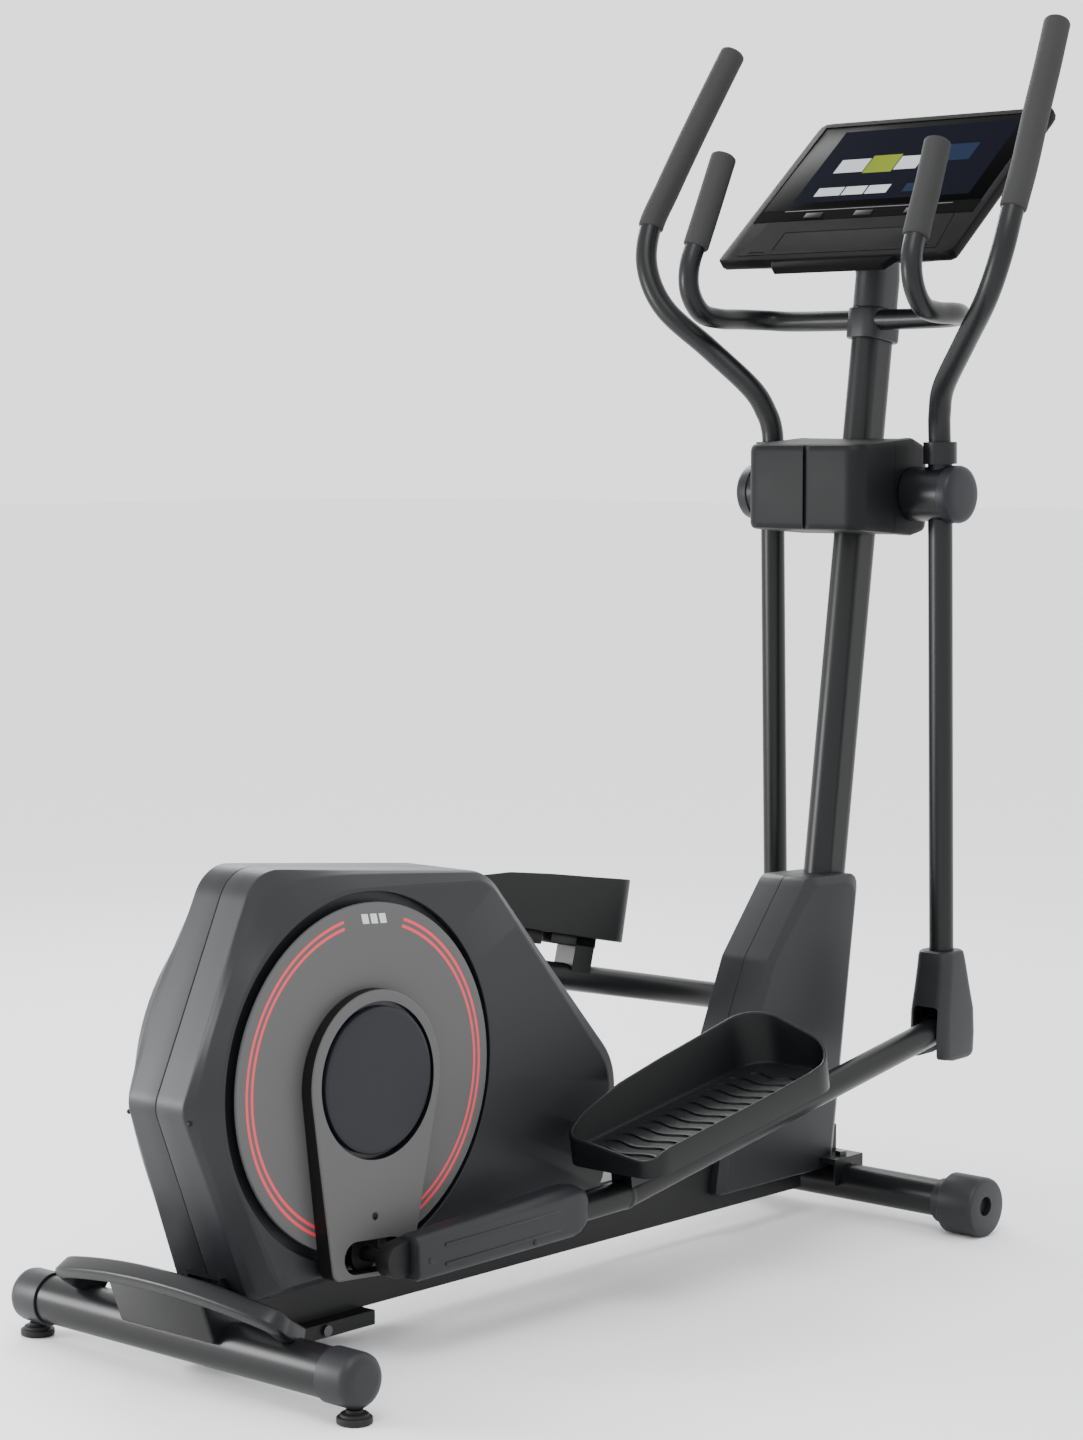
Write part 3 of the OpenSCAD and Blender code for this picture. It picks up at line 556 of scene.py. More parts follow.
def band_half(angle):
    """Half width of the middle band at an angle about the crank axis."""
    stops = []
    for y, z, radius, half_width in BAND_ROLLERS:
        stops.append((math.atan2(z - CRANK_Z, y - CRANK_AHEAD) % (2 * math.pi), half_width))
    stops.sort()
    before = (stops[-1][0] - 2 * math.pi, stops[-1][1])
    after = (stops[0][0] + 2 * math.pi, stops[0][1])
    stops = [before, *stops, after]
    for (a, wide_a), (b, wide_b) in zip(stops, stops[1:]):
        if a <= angle <= b:
            return wide_a + (wide_b - wide_a) * (angle - a) / (b - a)
    return stops[0][1]


def drive_cover():
    """Right half of the housing: seam, middle band, chamfer, side face and disc recess."""
    centre = (CRANK_AHEAD, CRANK_Z)
    band = outline([roller[:3] for roller in BAND_ROLLERS], centre, HOUSING_STEPS)
    side = outline(SIDE_ROLLERS, centre, HOUSING_STEPS)
    widths = [band_half(2 * math.pi * k / HOUSING_STEPS) for k in range(HOUSING_STEPS)]

    def pulled(points, amount):
        """Points drawn in towards the crank axis."""
        result = []
        for y, z in points:
            reach = math.hypot(y - centre[0], z - centre[1])
            share = (reach - amount) / reach
            result.append((centre[0] + (y - centre[0]) * share, centre[1] + (z - centre[1]) * share))
        return result

    def at(points, xs):
        return [(x, y, z) for (y, z), x in zip(points, xs)]

    def level(points, x):
        return [(x, y, z) for y, z in points]

    def chamfer(share):
        """Line on the facets between the band and the side, which meet in a soft ridge."""
        bulge = -RIDGE_BULGE * min(share / RIDGE, (1 - share) / (1 - RIDGE))
        xs = [width + (HOUSING_HALF - width) * share for width in widths]
        return at(pulled(toward(band, side, share), bulge), xs)

    def ring(radius, x):
        return circle(radius, HOUSING_STEPS, lambda c, s: (x, centre[0] + c, centre[1] + s))

    rings = [
        level(pulled(band, 6), 0.4),
        level(pulled(band, 1.2), 0.4),
        level(pulled(band, 0.25), 0.9),
        level(band, 2.2),
        at(band, [width * 0.5 for width in widths]),
        at(band, [width - 4.0 for width in widths]),
        at(band, [width - 1.6 for width in widths]),
        at(pulled(band, 0.3), widths),
        chamfer(0.05),
        chamfer(0.1),
        chamfer(RIDGE - 0.05),
        chamfer(RIDGE),
        chamfer(RIDGE + 0.05),
        chamfer(0.9),
        chamfer(0.95),
        level(pulled(side, 0.4), HOUSING_HALF - 0.7),
        level(pulled(side, 2.0), HOUSING_HALF),
        ring(RECESS_R + 0.9, HOUSING_HALF),
        ring(RECESS_R, HOUSING_HALF - 0.9),
        ring(RECESS_R, RECESS_FLOOR),
        ring(AXLE_HOLE_R, RECESS_FLOOR),
        ring(AXLE_HOLE_R, RECESS_FLOOR - 6),
    ]
    return loft(rings, cap_start=False, cap_end=False)


def dot(x, y, z, radius):
    """Small dark screw head."""
    shape = bmesh.new()
    bmesh.ops.create_icosphere(shape, subdivisions=2, radius=radius)
    return moved(shape, shift(x, y, z))


for side in (1, -1):
    name = side_name(side)
    place(name + "_housing_shell", drive_cover(), floor_frame, side, node=name + "_drive_cover", sharp=24)
    place(name + "_housing_screw", dot(53, -42.5, 318, 3.2), floor_frame, side, body="root", slot="steel",
          paint=[painted_shade_and_black], pick=painted)

# ---------- crank: discs, covers and hub caps ----------

DISC_OUT = HOUSING_HALF + 6
DISC_R = 214
# Inner and outer radius of each red line, and half the gap in them at the top
RED_RINGS = [(187.8, 191.6), (196.2, 200.0)]
RING_GAP = math.radians(15)
COVER_BACK = DISC_OUT + 0.3
# Outer face of the crank cover at the hub and at its lower end, and how far down it ends
HUB_FACE = DISC_OUT + 20
PIN_FACE = DISC_OUT + 26
COVER_END = 238
HUB_CAP_R = 90


def crank_disc():
    """Disc behind the crank arm, with rings of faces for the red lines."""
    profile = [
        (HOUSING_HALF - 4, 26),
        (HOUSING_HALF, 26),
        (HOUSING_HALF, DISC_R - 3),
        (DISC_OUT - 4.5, DISC_R),
        (DISC_OUT - 2.0, DISC_R),
        (DISC_OUT - 0.6, DISC_R - 0.7),
        (DISC_OUT, DISC_R - 2.4),
    ]
    for inner, outer in reversed(RED_RINGS):
        profile.append((DISC_OUT, outer))
        profile.append((DISC_OUT, inner))
    profile.append((DISC_OUT, 30))
    return lathe_x(profile, 240)


def disc_paint(face):
    """Red on the two ring lines, except near the top of the disc."""
    centre = face.calc_center_median()
    radius = math.hypot(centre.y, centre.z)
    if centre.x < DISC_OUT - 0.01 or abs(math.atan2(centre.y, centre.z)) < RING_GAP:
        return 0
    for inner, outer in RED_RINGS:
        if inner < radius < outer:
            return 1
    return 0


def crank_cover():
    """Plate over the crank arm, with a seat for the hub cap and a pocket round the pin."""
    low = -COVER_END
    rollers = [
        (0, 0, 110),
        (-54, low + 14, 14), (54, low + 14, 14),
        (-58, low + 56, 16), (58, low + 56, 16),
    ]
    centre = (0, -100)

    def face_x(z):
        return HUB_FACE + (PIN_FACE - HUB_FACE) * (z / low)

    # Inset of the outline, and depth below the sloping face; the first two rings are the flat back
    steps = [(0.8, None), (0.0, None), (0.0, 3.6), (0.0, 3.0), (0.9, 1.1), (3.0, 0.0), (3.6, 0.0)]
    rings = []
    for inset, depth in steps:
        points = outline(rollers, centre, 200, inset)
        ring = []
        for y, z in points:
            if depth is None:
                x = COVER_BACK + (0.0 if inset > 0 else 0.8)
            else:
                x = face_x(z) - depth
            ring.append((x, y, z))
        rings.append(ring)
    seat = lathe_x([(DISC_OUT + 9.2, HUB_CAP_R + 6), (150, HUB_CAP_R + 6)], 128)
    pocket_plan = outline([(-30, -CRANK_R, 20), (30, -CRANK_R, 20)], (0, -CRANK_R), 64)
    pocket = loft([[(x, y, z) for y, z in pocket_plan] for x in (DISC_OUT - 10, 150)])
    return cut(loft(rings), seat, pocket)


def painted_wall_shade(face):
    """Painted shade: near-black material on the walls round the pale face of the crank cover."""
    return 1 if abs(face.normal.x) < 0.05 else 0


def hub_cap():
    """Low domed cap in the seat of the crank cover."""
    face = DISC_OUT + 22
    profile = [
        (DISC_OUT + 9.4, HUB_CAP_R),
        (face - 3.0, HUB_CAP_R),
        (face - 1.2, HUB_CAP_R - 0.8),
        (face - 0.3, HUB_CAP_R - 2.6),
        (face, HUB_CAP_R - 5.5),
        (face + 0.9, 58),
        (face + 1.5, 28),
        (face + 1.6, 0),
    ]
    return lathe_x(profile, 128)


def disc_mark():
    """Plain bars, with no meaning, in the gap of the red rings."""
    low, high, slant = 188, 200, 0.35
    bars = []
    for y in (-15, 0, 15):
        bar = box((DISC_OUT - 0.4, y - 5.5, low), (DISC_OUT + 0.3, y + 5.5, high), 0.3, 1)
        for vert in bar.verts:
            vert.co.y -= (vert.co.z - (low + high) / 2) * slant
        bars.append(bar)
    return joined(*bars)


for side in (1, -1):
    name = side_name(side)
    place(name + "_disc", crank_disc(), crank_frame(side), side, body="crank", slot="grey_plastic",
          paint=[red_line], pick=disc_paint, sharp=30)
    place(name + "_disc_mark", disc_mark(), crank_frame(side), side, body="crank", slot="grey_plastic",
          paint=[pale_mark], pick=painted)
    # The crank cover's walls get near-black plastic as painted shade
    place(name + "_crank_plate", crank_cover(), crank_frame(side), side, node=name + "_crank_cover", sharp=30,
          paint=[painted_shade_and_black], pick=painted_wall_shade)
    place(name + "_hub", hub_cap(), crank_frame(side), side, body="crank", slot="cap_plastic")
    place(name + "_crank_screw", screw_x(HUB_FACE + 4.1, 0, -CRANK_R + 48, 4.5), crank_frame(side), side,
          body="crank", slot="steel", paint=[screw_steel], pick=painted)
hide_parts("crank_discs")
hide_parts("hub_caps")

# ---------- swing arms: handlebars, grips, pivot caps and boots ----------

HANDLE_R = 16
GRIP_R = 19
# Stations along the right handlebar, and along its grip
HANDLE = [
    (150, -1, 1104), (150.5, -3, 1122), (155, -9, 1145), (172, -24, 1182), (227, -54.5, 1240),
    (286, -87.5, 1300), (315, -94.5, 1360), (322, -79.5, 1420),
]
GRIP = [(317, -45.5, 1480), (308, -6.5, 1550), (299, 34.5, 1620), (289, 74, 1688)]
HANDLE_STEPS = 10
GRIP_STEP = HANDLE_STEPS * (len(HANDLE) - 1)


def foam_grip(path, radius):
    """Foam sleeve with rounded ends."""
    return tube(path, radius, end_round=3.5, count=36)


def end_plug(path, radius):
    """Low cap on the upper end of a grip."""
    end = path[-1]
    ahead = (path[-1] - path[-2]).normalized()
    return tube([end - ahead * 3, end, end + ahead * 1.2], radius, count=32)


def pivot_cap():
    """Domed cap over the end of the swing pivot."""
    profile = [
        (170.2, 40), (171.2, 41), (183.5, 41), (187.2, 39.8), (189.6, 37), (191.2, 32), (192.0, 22),
        (192.4, 0),
    ]
    return lathe_x(profile, 80)


# Height, middle, width, depth and corner radius of each section
BOOT_SECTIONS = [
    (-44, 3, 60, 78, 22), (-41, 2, 64, 86, 22), (-36, 1, 66, 92, 22), (-10, 1.5, 66.5, 92, 20),
    (26, 2, 66, 86, 18), (60, 1.5, 62.5, 71, 17), (90, 1, 60, 60, 17), (106, 0, 58, 54, 16),
    (111, 0, 55, 51, 15), (113, 0, 50, 46, 14),
]
BOOT_WALL = 3
# How far the hollow runs out of the boot below, so that it is open there
BOOT_OPEN = 8


def boot_skin(inset=0):
    """Outside of the boot, or with an inset the hollow inside it."""
    rings = []
    for z, y, width, depth, radius in BOOT_SECTIONS:
        drop = 0
        if inset > 0:
            drop = BOOT_WALL if z > 0 else BOOT_OPEN
        pairs = rectangle(width - 2 * inset, depth - 2 * inset, max(radius - inset, 4))
        rings.append([(a, b + y, z - drop) for a, b in pairs])
    return loft(rings)


def boot():
    """Shell over the lower fork, open below, with a slot at the back for the foot link."""
    slot = box((-21, -70, -70), (21, 0, 35), 6)
    return cut(boot_skin(), boot_skin(BOOT_WALL), slot)


for side in (1, -1):
    name = side_name(side)
    bar_path = spline(HANDLE + GRIP, HANDLE_STEPS)
    bar = tube(bar_path, HANDLE_R, up=(0, 1, 0), count=32)
    place(name + "_bar", bar, pivot_frame, side, node=name + "_handlebar")
    grip_path = bar_path[GRIP_STEP:]
    grip = foam_grip(grip_path, GRIP_R)
    piece = place(name + "_foam", joined(grip, end_plug(grip_path, GRIP_R - 4)), pivot_frame, side,
                  node=name + "_grip")
    place(name + "_pivot_dome", pivot_cap(), swing_frame, side, node=name + "_pivot_cap")
    place(name + "_boot_shell", boot(), swing_frame @ shift(arm_x * side, 0, -swing_l), side,
          node=name + "_boot")

# ---------- foot links: rear covers and pedals ----------

# Place along the link, height of the middle, width, height and corner radius of each section
COVER_SECTIONS = [
    (17, 0, 33, 50, 11), (18.5, 0, 37, 54, 11.5), (22, 0, 39, 56, 12), (150, 1, 41, 61, 13),
    (300, 2, 43, 66, 14), (312, 2.6, 42.4, 62, 15), (320, 3.4, 40, 54, 15), (326, 4, 34, 42, 13),
]


def link_cover():
    """Plastic cover over the rear of the foot link."""
    rings = []
    for y, z, width, height, radius in COVER_SECTIONS:
        rings.append([(a, y, b + z) for a, b in rectangle(width, height, radius)])
    shape = loft(rings)
    opening = box((-60, -10, -19.5), (2.8, 74, 19.5), 4)
    ridges = [box((18.4, 60, z), (21.8, 268, z + 4), 1.2) for z in (9, -15)]
    return joined(cut(shape, opening), *ridges, screw_x(19.5, 36, -4), screw_x(20.8, 222, -20))


# Rear end of the pedal behind the front pivot, its height over the link's line and its tilt
PEDAL_BACK = 787
PEDAL_RISE = 32
PEDAL_TILT = 2.8
PEDAL_X = 193
PEDAL_L = 400
# Rounded corners of the pedal: two coordinates and radius
PEDAL_PLAN = [(-51, 24, 24), (51, 24, 24), (-25, 350, 50), (25, 350, 50)]
# Height of the wall along the inner and the outer side, from the rear of the pedal
INNER_RIM = [(0, 22), (22, 32), (45, 43), (119, 57), (203, 64), (288, 69), (350, 73), (400, 76)]
OUTER_RIM = [(0, 6), (28, 17), (98, 17.5), (223, 18.5), (330, 21), (364, 25), (400, 42)]


def along(stops, at):
    """Value at a place between stops, each a place and a value."""
    for (a, low), (b, high) in zip(stops, stops[1:]):
        if at <= b:
            return low + (high - low) * max(0.0, (at - a) / (b - a))
    return stops[-1][1]


def rim_height(x, y):
    """Top of the pedal's wall: low outside and behind, high inside and in front."""
    share = min(max((x + 75) / 150, 0.0), 1.0)
    share = share * share * (3 - 2 * share)
    return along(INNER_RIM, y) * (1 - share) + along(OUTER_RIM, y) * share


def pedal_tray():
    """Tread and wall of the pedal: each level is an inset, and a height worked out from the wall's."""
    levels = [
        (1.6, lambda h: -15.5), (0.3, lambda h: -15.0), (0.0, lambda h: -13.0), (0.0, lambda h: h - 2.0),
        (0.5, lambda h: h - 0.6), (1.5, lambda h: h), (3.4, lambda h: h), (4.6, lambda h: h - 0.8),
        (5.0, lambda h: h - 2.4), (6.4, lambda h: 5.0), (8.0, lambda h: 1.6), (12.0, lambda h: 0.0),
    ]
    rings = []
    for inset, height in levels:
        points = outline(PEDAL_PLAN, (0, PEDAL_L / 2), 220, inset)
        rings.append([(x, y, height(rim_height(x, y))) for x, y in points])
    return loft(rings)


def pedal_ribs():
    """Wavy ribs across the tread, shorter where the pedal narrows."""
    count, first, pitch = 13, 34, 26
    half_width, narrow_from, wave, steps = 56, 320, 4.5, 24
    ribs = []
    for k in range(count):
        y = first + k * pitch
        reach = half_width
        if y > narrow_from:
            reach = half_width - (y - narrow_from) * 0.6
        path = []
        for step in range(steps + 1):
            share = step / steps
            x = -reach + 2 * reach * share
            path.append(Vector((x, y + wave * math.sin(share * 3 * math.pi), 0.4)))
        ribs.append(sweep(path, [(-3.4, -1.2), (3.4, -1.2), (2.2, 1.9), (-2.2, 1.9)], (0, 1, 0)))
    return joined(*ribs)


def link_end():
    """Collar round the rear bearing of the foot link, made near black as painted shade for the pocket at the crank
    pin.
    """
    plan = outline([(0, 0, 21), (26, 0, 21)], (10, 0), 64)
    shape = loft([[(x, y, z) for y, z in plan] for x in (-19.6, 3.2)])
    round_edges(shape, 1.5, 2, 50)
    return shape


def pedal_brackets():
    """Two supports between the foot link and the underside of the pedal."""
    return joined(box((-59, 62, -34), (-25, 218, -14), 2), box((-59, 236, -30), (-25, 332, -14), 2))


for side in (1, -1):
    name = side_name(side)
    cover_frame = link_frame(side) @ shift(arm_x * side, -link_l, 0) @ Matrix.Rotation(-rear_slope, 4, "X")
    place(name + "_link_shell", link_cover(), cover_frame, side, node=name + "_link_cover", sharp=30)
    # The collar is near black, as painted shade in the pocket at the crank pin
    place(name + "_link_end", link_end(), link_frame(side) @ shift(arm_x * side, -link_l, 0), side,
          body=body_of[name + "_pedal"], slot="frame_paint", paint=[painted_shade_and_black], pick=painted)
    pedal_frame = link_frame(side) @ shift(PEDAL_X * side, -PEDAL_BACK, PEDAL_RISE) @ turn_x(PEDAL_TILT)
    tread = joined(pedal_tray(), pedal_ribs())
    place(name + "_tray", tread, pedal_frame, side, node=name + "_pedal", sharp=40)
    place(name + "_brackets", pedal_brackets(), pedal_frame, side, body=body_of[name + "_pedal"],
          slot="frame_paint")

# ---------- floor frame ----------

REAR_TUBE_Z = 50
REAR_HALF = 298


def end_cap():
    """Rounded cap on the right end of the rear stabilizer."""
    profile = [
        (246.3, 30.5), (246.3, 32.4), (247.0, 33), (284, 33), (290, 31.8), (294.5, 28.5), (297.2, 23.5),
        (REAR_HALF, 17), (REAR_HALF, 0),
    ]
    return moved(lathe_x(profile, 80), shift(0, 0, REAR_TUBE_Z))


def both(build):
    """A shape and its mirror image, as one."""
    other = build()
    moved(other, Matrix.Scale(-1, 4, (1, 0, 0)))
    bmesh.ops.reverse_faces(other, faces=other.faces)
    return joined(build(), other)


place("stabilizer_caps", both(end_cap), floor_frame, node="rear_end_caps")


def lift_handle():
    """Arched strap over the rear tube, with a web in the middle."""
    right_end = [(60, -48, 124), (172, -38, 110), (182, -18, 94), (172, 14, 76)]
    left_end = [(-x, y, z) for x, y, z in reversed(right_end)]
    strap = sweep(spline(left_end + right_end, 10), rectangle(26, 18, 5, 5), (0, -0.35, 1))
    plan = [(10, 60), (-34, 60), (-56, 118), (-48, 132), (-20, 118), (12, 86)]
    web = loft([[(x, y, z) for y, z in plan] for x in (-82, 82)])
    round_edges(web, 3, 3)
    return joined(strap, web)


place("lift_strap", lift_handle(), floor_frame, node="lift_handle")

WHEEL_X = 281
WHEEL_AHEAD = 21
WHEEL_Z = 29
WHEEL_R = 27


def wheel_housing():
    """Round end of the front stabilizer, flat below, with a well for its wheel."""
    profile = [
        (236, 30), (237, 31), (252, 31), (254, 33.5), (254, 40.5), (255.5, 42), (305, 42), (309, 41),
        (311.3, 39), (312, 36.5), (312, 0),
    ]
    drum = moved(lathe_x(profile), shift(0, 0, 41))
    floor = box((200, -80, -60), (330, 80, 0))
    hole = moved(lathe_x([(303, 13.5), (330, 13.5)], 48), shift(0, -4, 44))
    well_plan = outline([(WHEEL_AHEAD, WHEEL_Z, WHEEL_R + 3), (60, WHEEL_Z - 20, WHEEL_R + 3)], (30, 20), 64)
    well = loft([[(x, y, z) for y, z in well_plan] for x in (WHEEL_X - 14, WHEEL_X + 14)])
    return moved(cut(drum, floor, hole, well), shift(0, FRONT_AHEAD, 0))


place("front_housings", both(wheel_housing), floor_frame, node="front_wheel_housings", sharp=30)


def wheel():
    """Tyre and hub of a transport wheel."""
    profile = [
        (-10, 11), (-10, 24.5), (-8.2, 26.6), (-6, WHEEL_R), (6, WHEEL_R), (8.2, 26.6), (10, 24.5), (10, 11),
    ]
    tyre = lathe_x(profile, 64)
    hub = lathe_x([(-12.5, 4.2), (-12.5, 9.4), (-12, 10), (12, 10), (12.5, 9.4), (12.5, 4.2)], 40)
    return joined(tyre, hub)


def levelling_foot():
    """Foot pad with its nut and screw."""
    profile = [
        (0, 19.6), (0.8, 20.8), (2.5, 21), (6.8, 21), (8, 20), (8.4, 17), (11.5, 16.4), (12.2, 15),
        (12.4, 10), (16, 10), (16.4, 5), (48, 5),
    ]
    return lathe_z(profile)


for side in (1, -1):
    name = side_name(side)
    wheel_frame = floor_frame @ shift(WHEEL_X * side, FRONT_AHEAD + WHEEL_AHEAD, WHEEL_Z)
    place(name + "_tyre", wheel(), wheel_frame, side, node=name + "_wheel")
    foot_frame = floor_frame @ shift((REAR_HALF - 19) * side, 0, 0)
    place(name + "_foot", levelling_foot(), foot_frame, side, node=name + "_levelling_foot")

# ---------- foot of the post, and the pod round the swing pivots ----------

# Rounded corners of the shroud: two coordinates, radius, and which way the side face draws them in,
# along and down
SHROUD_ROLLERS = [
    (1152, 468, 18, 1, 1), (1247, 465, 18, -1, 1), (1062, 372, 10, 1, 0),
    (976, 170, 14, 1, 0), (948, 66, 6, 1, -0.3), (1202, 66, 6, -1, -0.3),
]


def shroud_rollers(inset):
    """The outline's corners, drawn in for the flat side face."""
    drawn = []
    for y, z, radius, forward, down in SHROUD_ROLLERS:
        drawn.append((y + forward * inset, z - down * inset, radius))
    return drawn


def post_shroud():
    """Right half of the shroud at the foot of the post: seam, wall, chamfer and side face."""
    centre = (1110, 260)
    steps = [
        (0.3, 0, 4), (0.3, 0, 0.6), (0.8, 0, 0), (38, 0, 0), (40.3, 0.6, 0), (45.8, 10.6, 0),
        (46.7, 12.2, 0.4), (47, 14, 1.2),
    ]
    rings = []
    for x, inset, pull in steps:
        points = outline(shroud_rollers(inset), centre, 240, pull)
        rings.append([(x, y, z) for y, z in points])
    return loft(rings, cap_start=False)


for side in (1, -1):
    name = side_name(side)
    place(name + "_shroud", post_shroud(), floor_frame, side, node=name + "_post_shroud", sharp=24)

# The pod's two halves meet here, with a hairline gap
POD_SPLIT = 1262
POD_GAP = 0.3
# Ends and widest station of the pod, seen from the side
POD_REAR, POD_MIDDLE, POD_FRONT = 1175, 1308, 1375
POD_PLAN = [
    (-77, 1200, 25), (77, 1200, 25), (-74, 1290, 30), (74, 1290, 30), (-74, 1326, 30), (74, 1326, 30),
    (-32, 1347, 28), (32, 1347, 28),
]


def pod_span(y):
    """Lower and upper end of the pod at a station."""
    if y < POD_MIDDLE:
        share = (y - POD_REAR) / (POD_MIDDLE - POD_REAR)
        return 980 - 10 * share, 1100 + 10 * share
    share = (y - POD_MIDDLE) / (POD_FRONT - POD_MIDDLE)
    return 970 + 14 * share, 1110 - 26 * share


def pod():
    """Whole pod, from its lower face to its upper one: share of the height, and inset."""
    steps = [
        (0.0, 16), (0.0, 7), (0.012, 3), (0.04, 0.9), (0.08, 0), (0.92, 0), (0.96, 0.9), (0.988, 3),
        (1.0, 7), (1.0, 16),
    ]
    rings = []
    for share, inset in steps:
        ring = []
        for x, y in outline(POD_PLAN, (0, 1270), 240, inset):
            low, high = pod_span(y)
            ring.append((x, y, low + (high - low) * share))
        rings.append(ring)
    return loft(rings)


groove = box((5, 1150, 900), (15, 1179.5, 1200))
rear_half = cut(half(pod(), (0, POD_SPLIT - POD_GAP, 0), (0, 1, 0)), groove)
front_half = half(pod(), (0, POD_SPLIT + POD_GAP, 0), (0, -1, 0))
# Both halves of the pod are painted with the darker copy of the shell plastic, as painted shade
place("pod_rear", rear_half, floor_frame, node="pod_rear_cover", sharp=28,
      paint=[pod_painted_shade], pick=painted)
place("pod_front", front_half, floor_frame, node="pod_front_cover", sharp=28,
      paint=[pod_painted_shade], pick=painted)

# ---------- fixed handlebar ----------

FIXED_AHEAD = 1332
# Stations along the right half of the fixed bar, and along its grip
FIXED_HALF = [
    (0, 0, 1280), (70, 0, 1280), (140, -1, 1281), (172, -14, 1283), (190, -50, 1284), (194, -100, 1284),
    (197, -139, 1292), (198.5, -163, 1322), (197, -165, 1361), (194.5, -145, 1407),
]
FIXED_GRIP = [(194.5, -145, 1407), (193, -123, 1456), (190, -96, 1520)]
fixed_frame = floor_frame @ shift(0, FIXED_AHEAD, 0)
right_half = FIXED_HALF + FIXED_GRIP[1:]
left_half = [(-x, y, z) for x, y, z in reversed(right_half[1:])]
place("fixed_bar", tube(spline(left_half + right_half, 10), HANDLE_R - 1, up=(0.6, 0.6, 0.5), count=32),
      fixed_frame, node="fixed_handlebar")


def fixed_grip():
    """Foam over the upper part of the bar, from a little below the grip's first station."""
    path = spline([FIXED_HALF[-2]] + FIXED_GRIP, 12)[7:]
    return joined(foam_grip(path, GRIP_R), end_plug(path, GRIP_R - 4))


place("fixed_foam", both(fixed_grip), fixed_frame, node="fixed_grips")


def clamp():
    """Collar on the post that holds the fixed handlebar, and its rear boss."""
    rings = []
    for z, inset in [(1143, 2), (1144, 0.6), (1146, 0), (1184, 0), (1186, 0.6), (1187, 2)]:
        rings.append([(a, b, z) for a, b in rectangle(57 - 2 * inset, 80 - 2 * inset, 22 - inset)])
    collar = loft(rings)
    boss = box((-17, -22, 1186), (17, -2, 1238), 3)
    return joined(collar, boss)


place("bar_clamp", clamp(), post_frame, node="handlebar_clamp")

# ---------- console ----------

# Rounded corners of the console: two coordinates and radius
CONSOLE_PLAN = [(-200, 12, 10), (200, 12, 10), (-196, 325, 14), (196, 325, 14)]
CONSOLE_CENTRE = (0, 170)
# Middle of each key, the keys' half width and lower and upper edge, and the gap round them
KEYS = {"resistance_down_button": -90, "start_button": 0, "resistance_up_button": 90}
KEY_HALF, KEY_LOW, KEY_HIGH = 16, 98, 110
KEY_GAP = 0.4


def key_holes(low, high):
    """Cutters for the holes of the three keys."""
    holes = []
    for x in KEYS.values():
        reach = KEY_HALF + KEY_GAP
        holes.append(box((x - reach, KEY_LOW - KEY_GAP, low), (x + reach, KEY_HIGH + KEY_GAP, high)))
    return holes


def console_front():
    """Front of the console, with a seat for the display and holes for the keys."""
    rings = []
    for z, inset in [(-14, 1.6), (-13, 0.3), (-12, 0), (-3, 0), (-1.4, 0.4), (-0.4, 1.4), (0, 3)]:
        rings.append([(x, y, z) for x, y in outline(CONSOLE_PLAN, CONSOLE_CENTRE, 200, inset)])
    seat = box((-196, 122, -4), (196, 327, 5))
    return cut(loft(rings), seat, *key_holes(-9, 5))


def tray_panel():
    """Dark lower panel with a shallow tray, two ledges and two short slots, and a tab below it."""
    plan = [(-176, 14), (176, 14), (166, 92), (-166, 92)]
    panel = loft([[(x, y, z) for x, y in plan] for z in (-2, 0.5)])
    tray = box((-120, 22, -1.2), (120, 66, 6), 2)
    slots = [box((x - 14, 17, -1), (x + 14, 21, 2)) for x in (-145, 145)]
    ledges = [box((-118, y, -1.4), (118, y + 2, -0.6), 0.3, 1) for y in (38, 52)]
    tab_plan = [(-112, 4), (112, 4), (98, -16), (-98, -16)]
    tab = loft([[(x, y, z) for x, y in tab_plan] for z in (-14, -2)])
    round_edges(tab, 2, 2)
    return joined(cut(panel, tray, *slots), tab, *ledges)


def key_panel():
    """Dark strip round the keys."""
    return cut(box((-196, 93, -0.6), (196, 121.5, 0.5), 0.3, 1), *key_holes(-3, 3))


place("console_face", console_front(), console_frame, node="console_front", sharp=30,
      paint=[console_margin], pick=painted)
place("console_tray", tray_panel(), console_frame, body="root", slot="shell_plastic",
      paint=[console_tray], pick=painted)
place("key_strip", key_panel(), console_frame, body="root", slot="display_glass")
place("key_line", box((-150, 116, 0.4), (150, 117.6, 0.7)), console_frame, body="root", slot="grey_plastic")


def console_shell():
    """Shallow back of the console, and its neck down to the post."""
    back_plan = [(-120, 70, 30), (120, 70, 30), (-120, 210, 30), (120, 210, 30)]
    near = outline(CONSOLE_PLAN, CONSOLE_CENTRE, 200, 2)
    far = outline(back_plan, CONSOLE_CENTRE, 200)
    rings = []
    for z, share in [(-14.2, 0.0), (-16.5, 0.0), (-30, 0.45), (-41, 0.86), (-43.4, 0.96), (-44, 1.04)]:
        rings.append([(x, y, z) for x, y in toward(near, far, share)])
    back = moved(loft(rings), console_frame)
    foot = []
    for z in (1189, 1190, 1236):
        foot.append([post_frame @ Vector((a, b, z)) for a, b in rectangle(50, 73, 24)])
    head = [console_frame @ Vector((a, b + 111, -42)) for a, b in rectangle(52, 92, 24)]
    neck = loft(foot + [head])
    return joined(back, neck)


place("console_rear", console_shell(), Matrix.Identity(4), node="console_back", sharp=30)

# Plain blocks of the screen picture: x0, y0, x1, y1 and the number of the material
SCREEN_BLOCKS = [
    (-150, 138, 165, 312, 1),
    (-115, 208, -62, 240, 2), (-60, 204, -8, 246, 3), (-6, 208, 34, 240, 2), (60, 222, 120, 262, 4),
    (-119, 152, -72, 172, 2), (-69, 152, -30, 172, 2), (-27, 152, 12, 172, 2), (40, 152, 100, 172, 4),
]


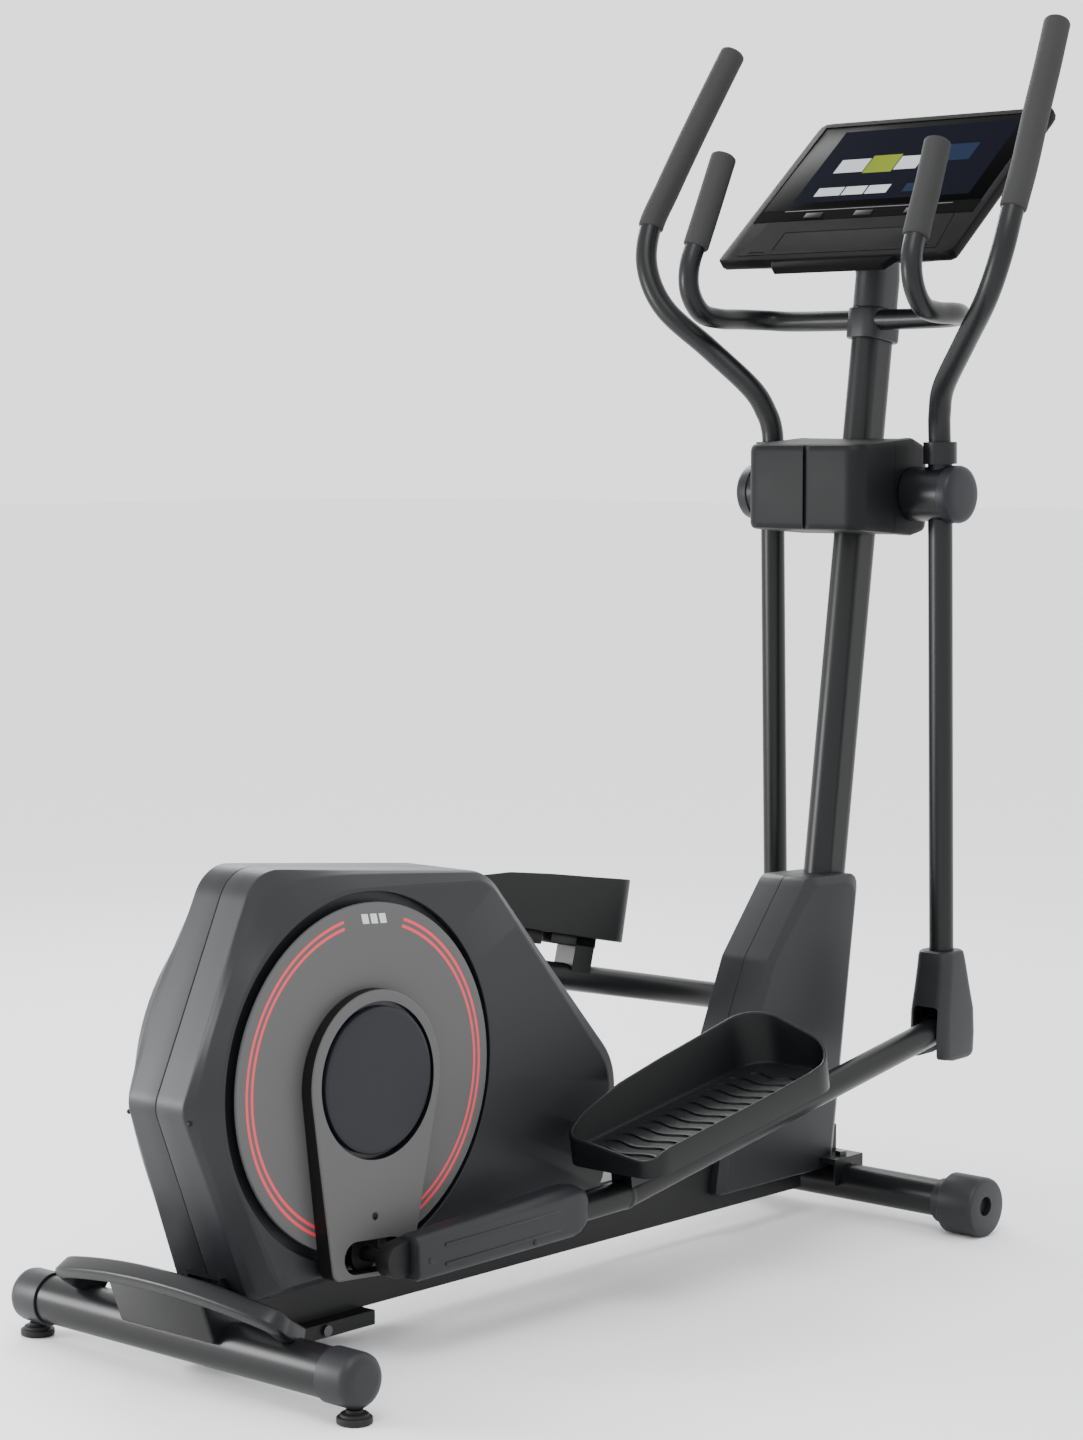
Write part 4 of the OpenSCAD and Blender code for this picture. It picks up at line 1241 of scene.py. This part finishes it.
def display():
    """Glass panel with the plain blocks just proud of it."""
    top = -0.6
    glass = box((-195.8, 122.2, -3.8), (195.8, 326.8, top), 0.6, 2)
    for x0, y0, x1, y1, number in SCREEN_BLOCKS:
        lift = 0.10 if number > 1 else 0.05
        block = box((x0, y0, top - 0.1), (x1, y1, top + lift))
        for face in block.faces:
            face.material_index = number
        glass = joined(glass, block)
    return glass


place("display_panel", display(), console_frame, node="console_display",
      paint=[screen_navy, screen_white, screen_green, screen_blue])
for node, x in KEYS.items():
    key = box((x - KEY_HALF, KEY_LOW, -7.4), (x + KEY_HALF, KEY_HIGH, 1.6), 1.2, 3)
    place(node + "_key", key, console_frame, node=node)

# ---------- CAD parts that are shown as they are ----------

SHOWN = [
    "main_frame", "rear_stabilizer", "front_stabilizer", "upright_post", "pivot_axle",
    "crank_bearings", "flywheel_axle", "brake_magnets", "idler_arm", "resistance_motor", "drive_belt",
    "power_inlet", "frame_bolts", "crank_axle", "drive_pulley", "crank_arms", "flywheel", "idler_pulley",
    "left_swing_arm", "right_swing_arm", "left_foot_link", "right_foot_link",
]
# Those of them that get rounded edges, in metres
EDGED = [
    "main_frame", "left_swing_arm", "right_swing_arm", "left_foot_link", "right_foot_link", "crank_arms",
]
EDGE_WIDTH = 0.0012
for node in SHOWN:
    thing = frame["nodes"][node]
    thing.data.materials.clear()
    # The crank arms get near-black plastic as painted shade, seen through the pocket of the crank cover
    thing.data.materials.append(painted_shade_and_black if node == "crank_arms" else MATERIALS[slot_of[node]])
    if node in EDGED:
        edge = thing.modifiers.new("edge", "BEVEL")
        edge.width = EDGE_WIDTH
        edge.segments = 2
        edge.limit_method = "ANGLE"
        edge.angle_limit = math.radians(40)
        edge.harden_normals = True

# ---------- floor, light and camera ----------

# Half the width of the floor, in metres
FLOOR = 40
floor_paint = plain("floor_paint", (0.92, 0.92, 0.92), 0.6)
floor_mesh = bpy.data.meshes.new("floor")
floor_corners = [(-FLOOR, -FLOOR, 0), (FLOOR, -FLOOR, 0), (FLOOR, FLOOR, 0), (-FLOOR, FLOOR, 0)]
floor_mesh.from_pydata(floor_corners, [], [(0, 1, 2, 3)])
floor_mesh.materials.append(floor_paint)
floor = bpy.data.objects.new("floor", floor_mesh)
floor.location.z = -0.0005
bpy.context.scene.collection.objects.link(floor)

WORLD_LIGHT = 1.9
world = bpy.data.worlds.new("studio")
world.use_nodes = True
world.node_tree.nodes["Background"].inputs["Color"].default_value = (1, 1, 1, 1)
world.node_tree.nodes["Background"].inputs["Strength"].default_value = WORLD_LIGHT
bpy.context.scene.world = world


def soft_light(name, at, aim, size, power):
    """Square area light at a point, aimed at another."""
    lamp = bpy.data.lights.new(name, "AREA")
    lamp.size = size
    lamp.energy = power
    thing = bpy.data.objects.new(name, lamp)
    thing.location = at
    thing.rotation_euler = (Vector(aim) - Vector(at)).to_track_quat("-Z", "Y").to_euler()
    bpy.context.scene.collection.objects.link(thing)


soft_light("key", (1.2, -1.6, 3.6), (0, 0, 0.7), 1.6, 60)
soft_light("rear", (-2.1, -2.6, 0.95), (0, -0.8, 0.3), 1.0, 100)
soft_light("rim", (-2.4, 1.6, 2.6), (0, 0, 0.8), 1.4, 60)

CAMERA_AT = (2.8968, -3.3160, 1.1123)
CAMERA_AZIMUTH = math.radians(41.997)
CAMERA_PITCH = math.radians(4.884)
lens = bpy.data.cameras.new("camera")
lens.lens = 83.06
lens.sensor_width = 36
lens.clip_end = 60
camera = bpy.data.objects.new("camera", lens)
look = Vector((
    -math.sin(CAMERA_AZIMUTH) * math.cos(CAMERA_PITCH),
    math.cos(CAMERA_AZIMUTH) * math.cos(CAMERA_PITCH),
    -math.sin(CAMERA_PITCH),
))
camera.location = CAMERA_AT
camera.rotation_euler = look.to_track_quat("-Z", "Y").to_euler()
bpy.context.scene.collection.objects.link(camera)
bpy.context.scene.camera = camera
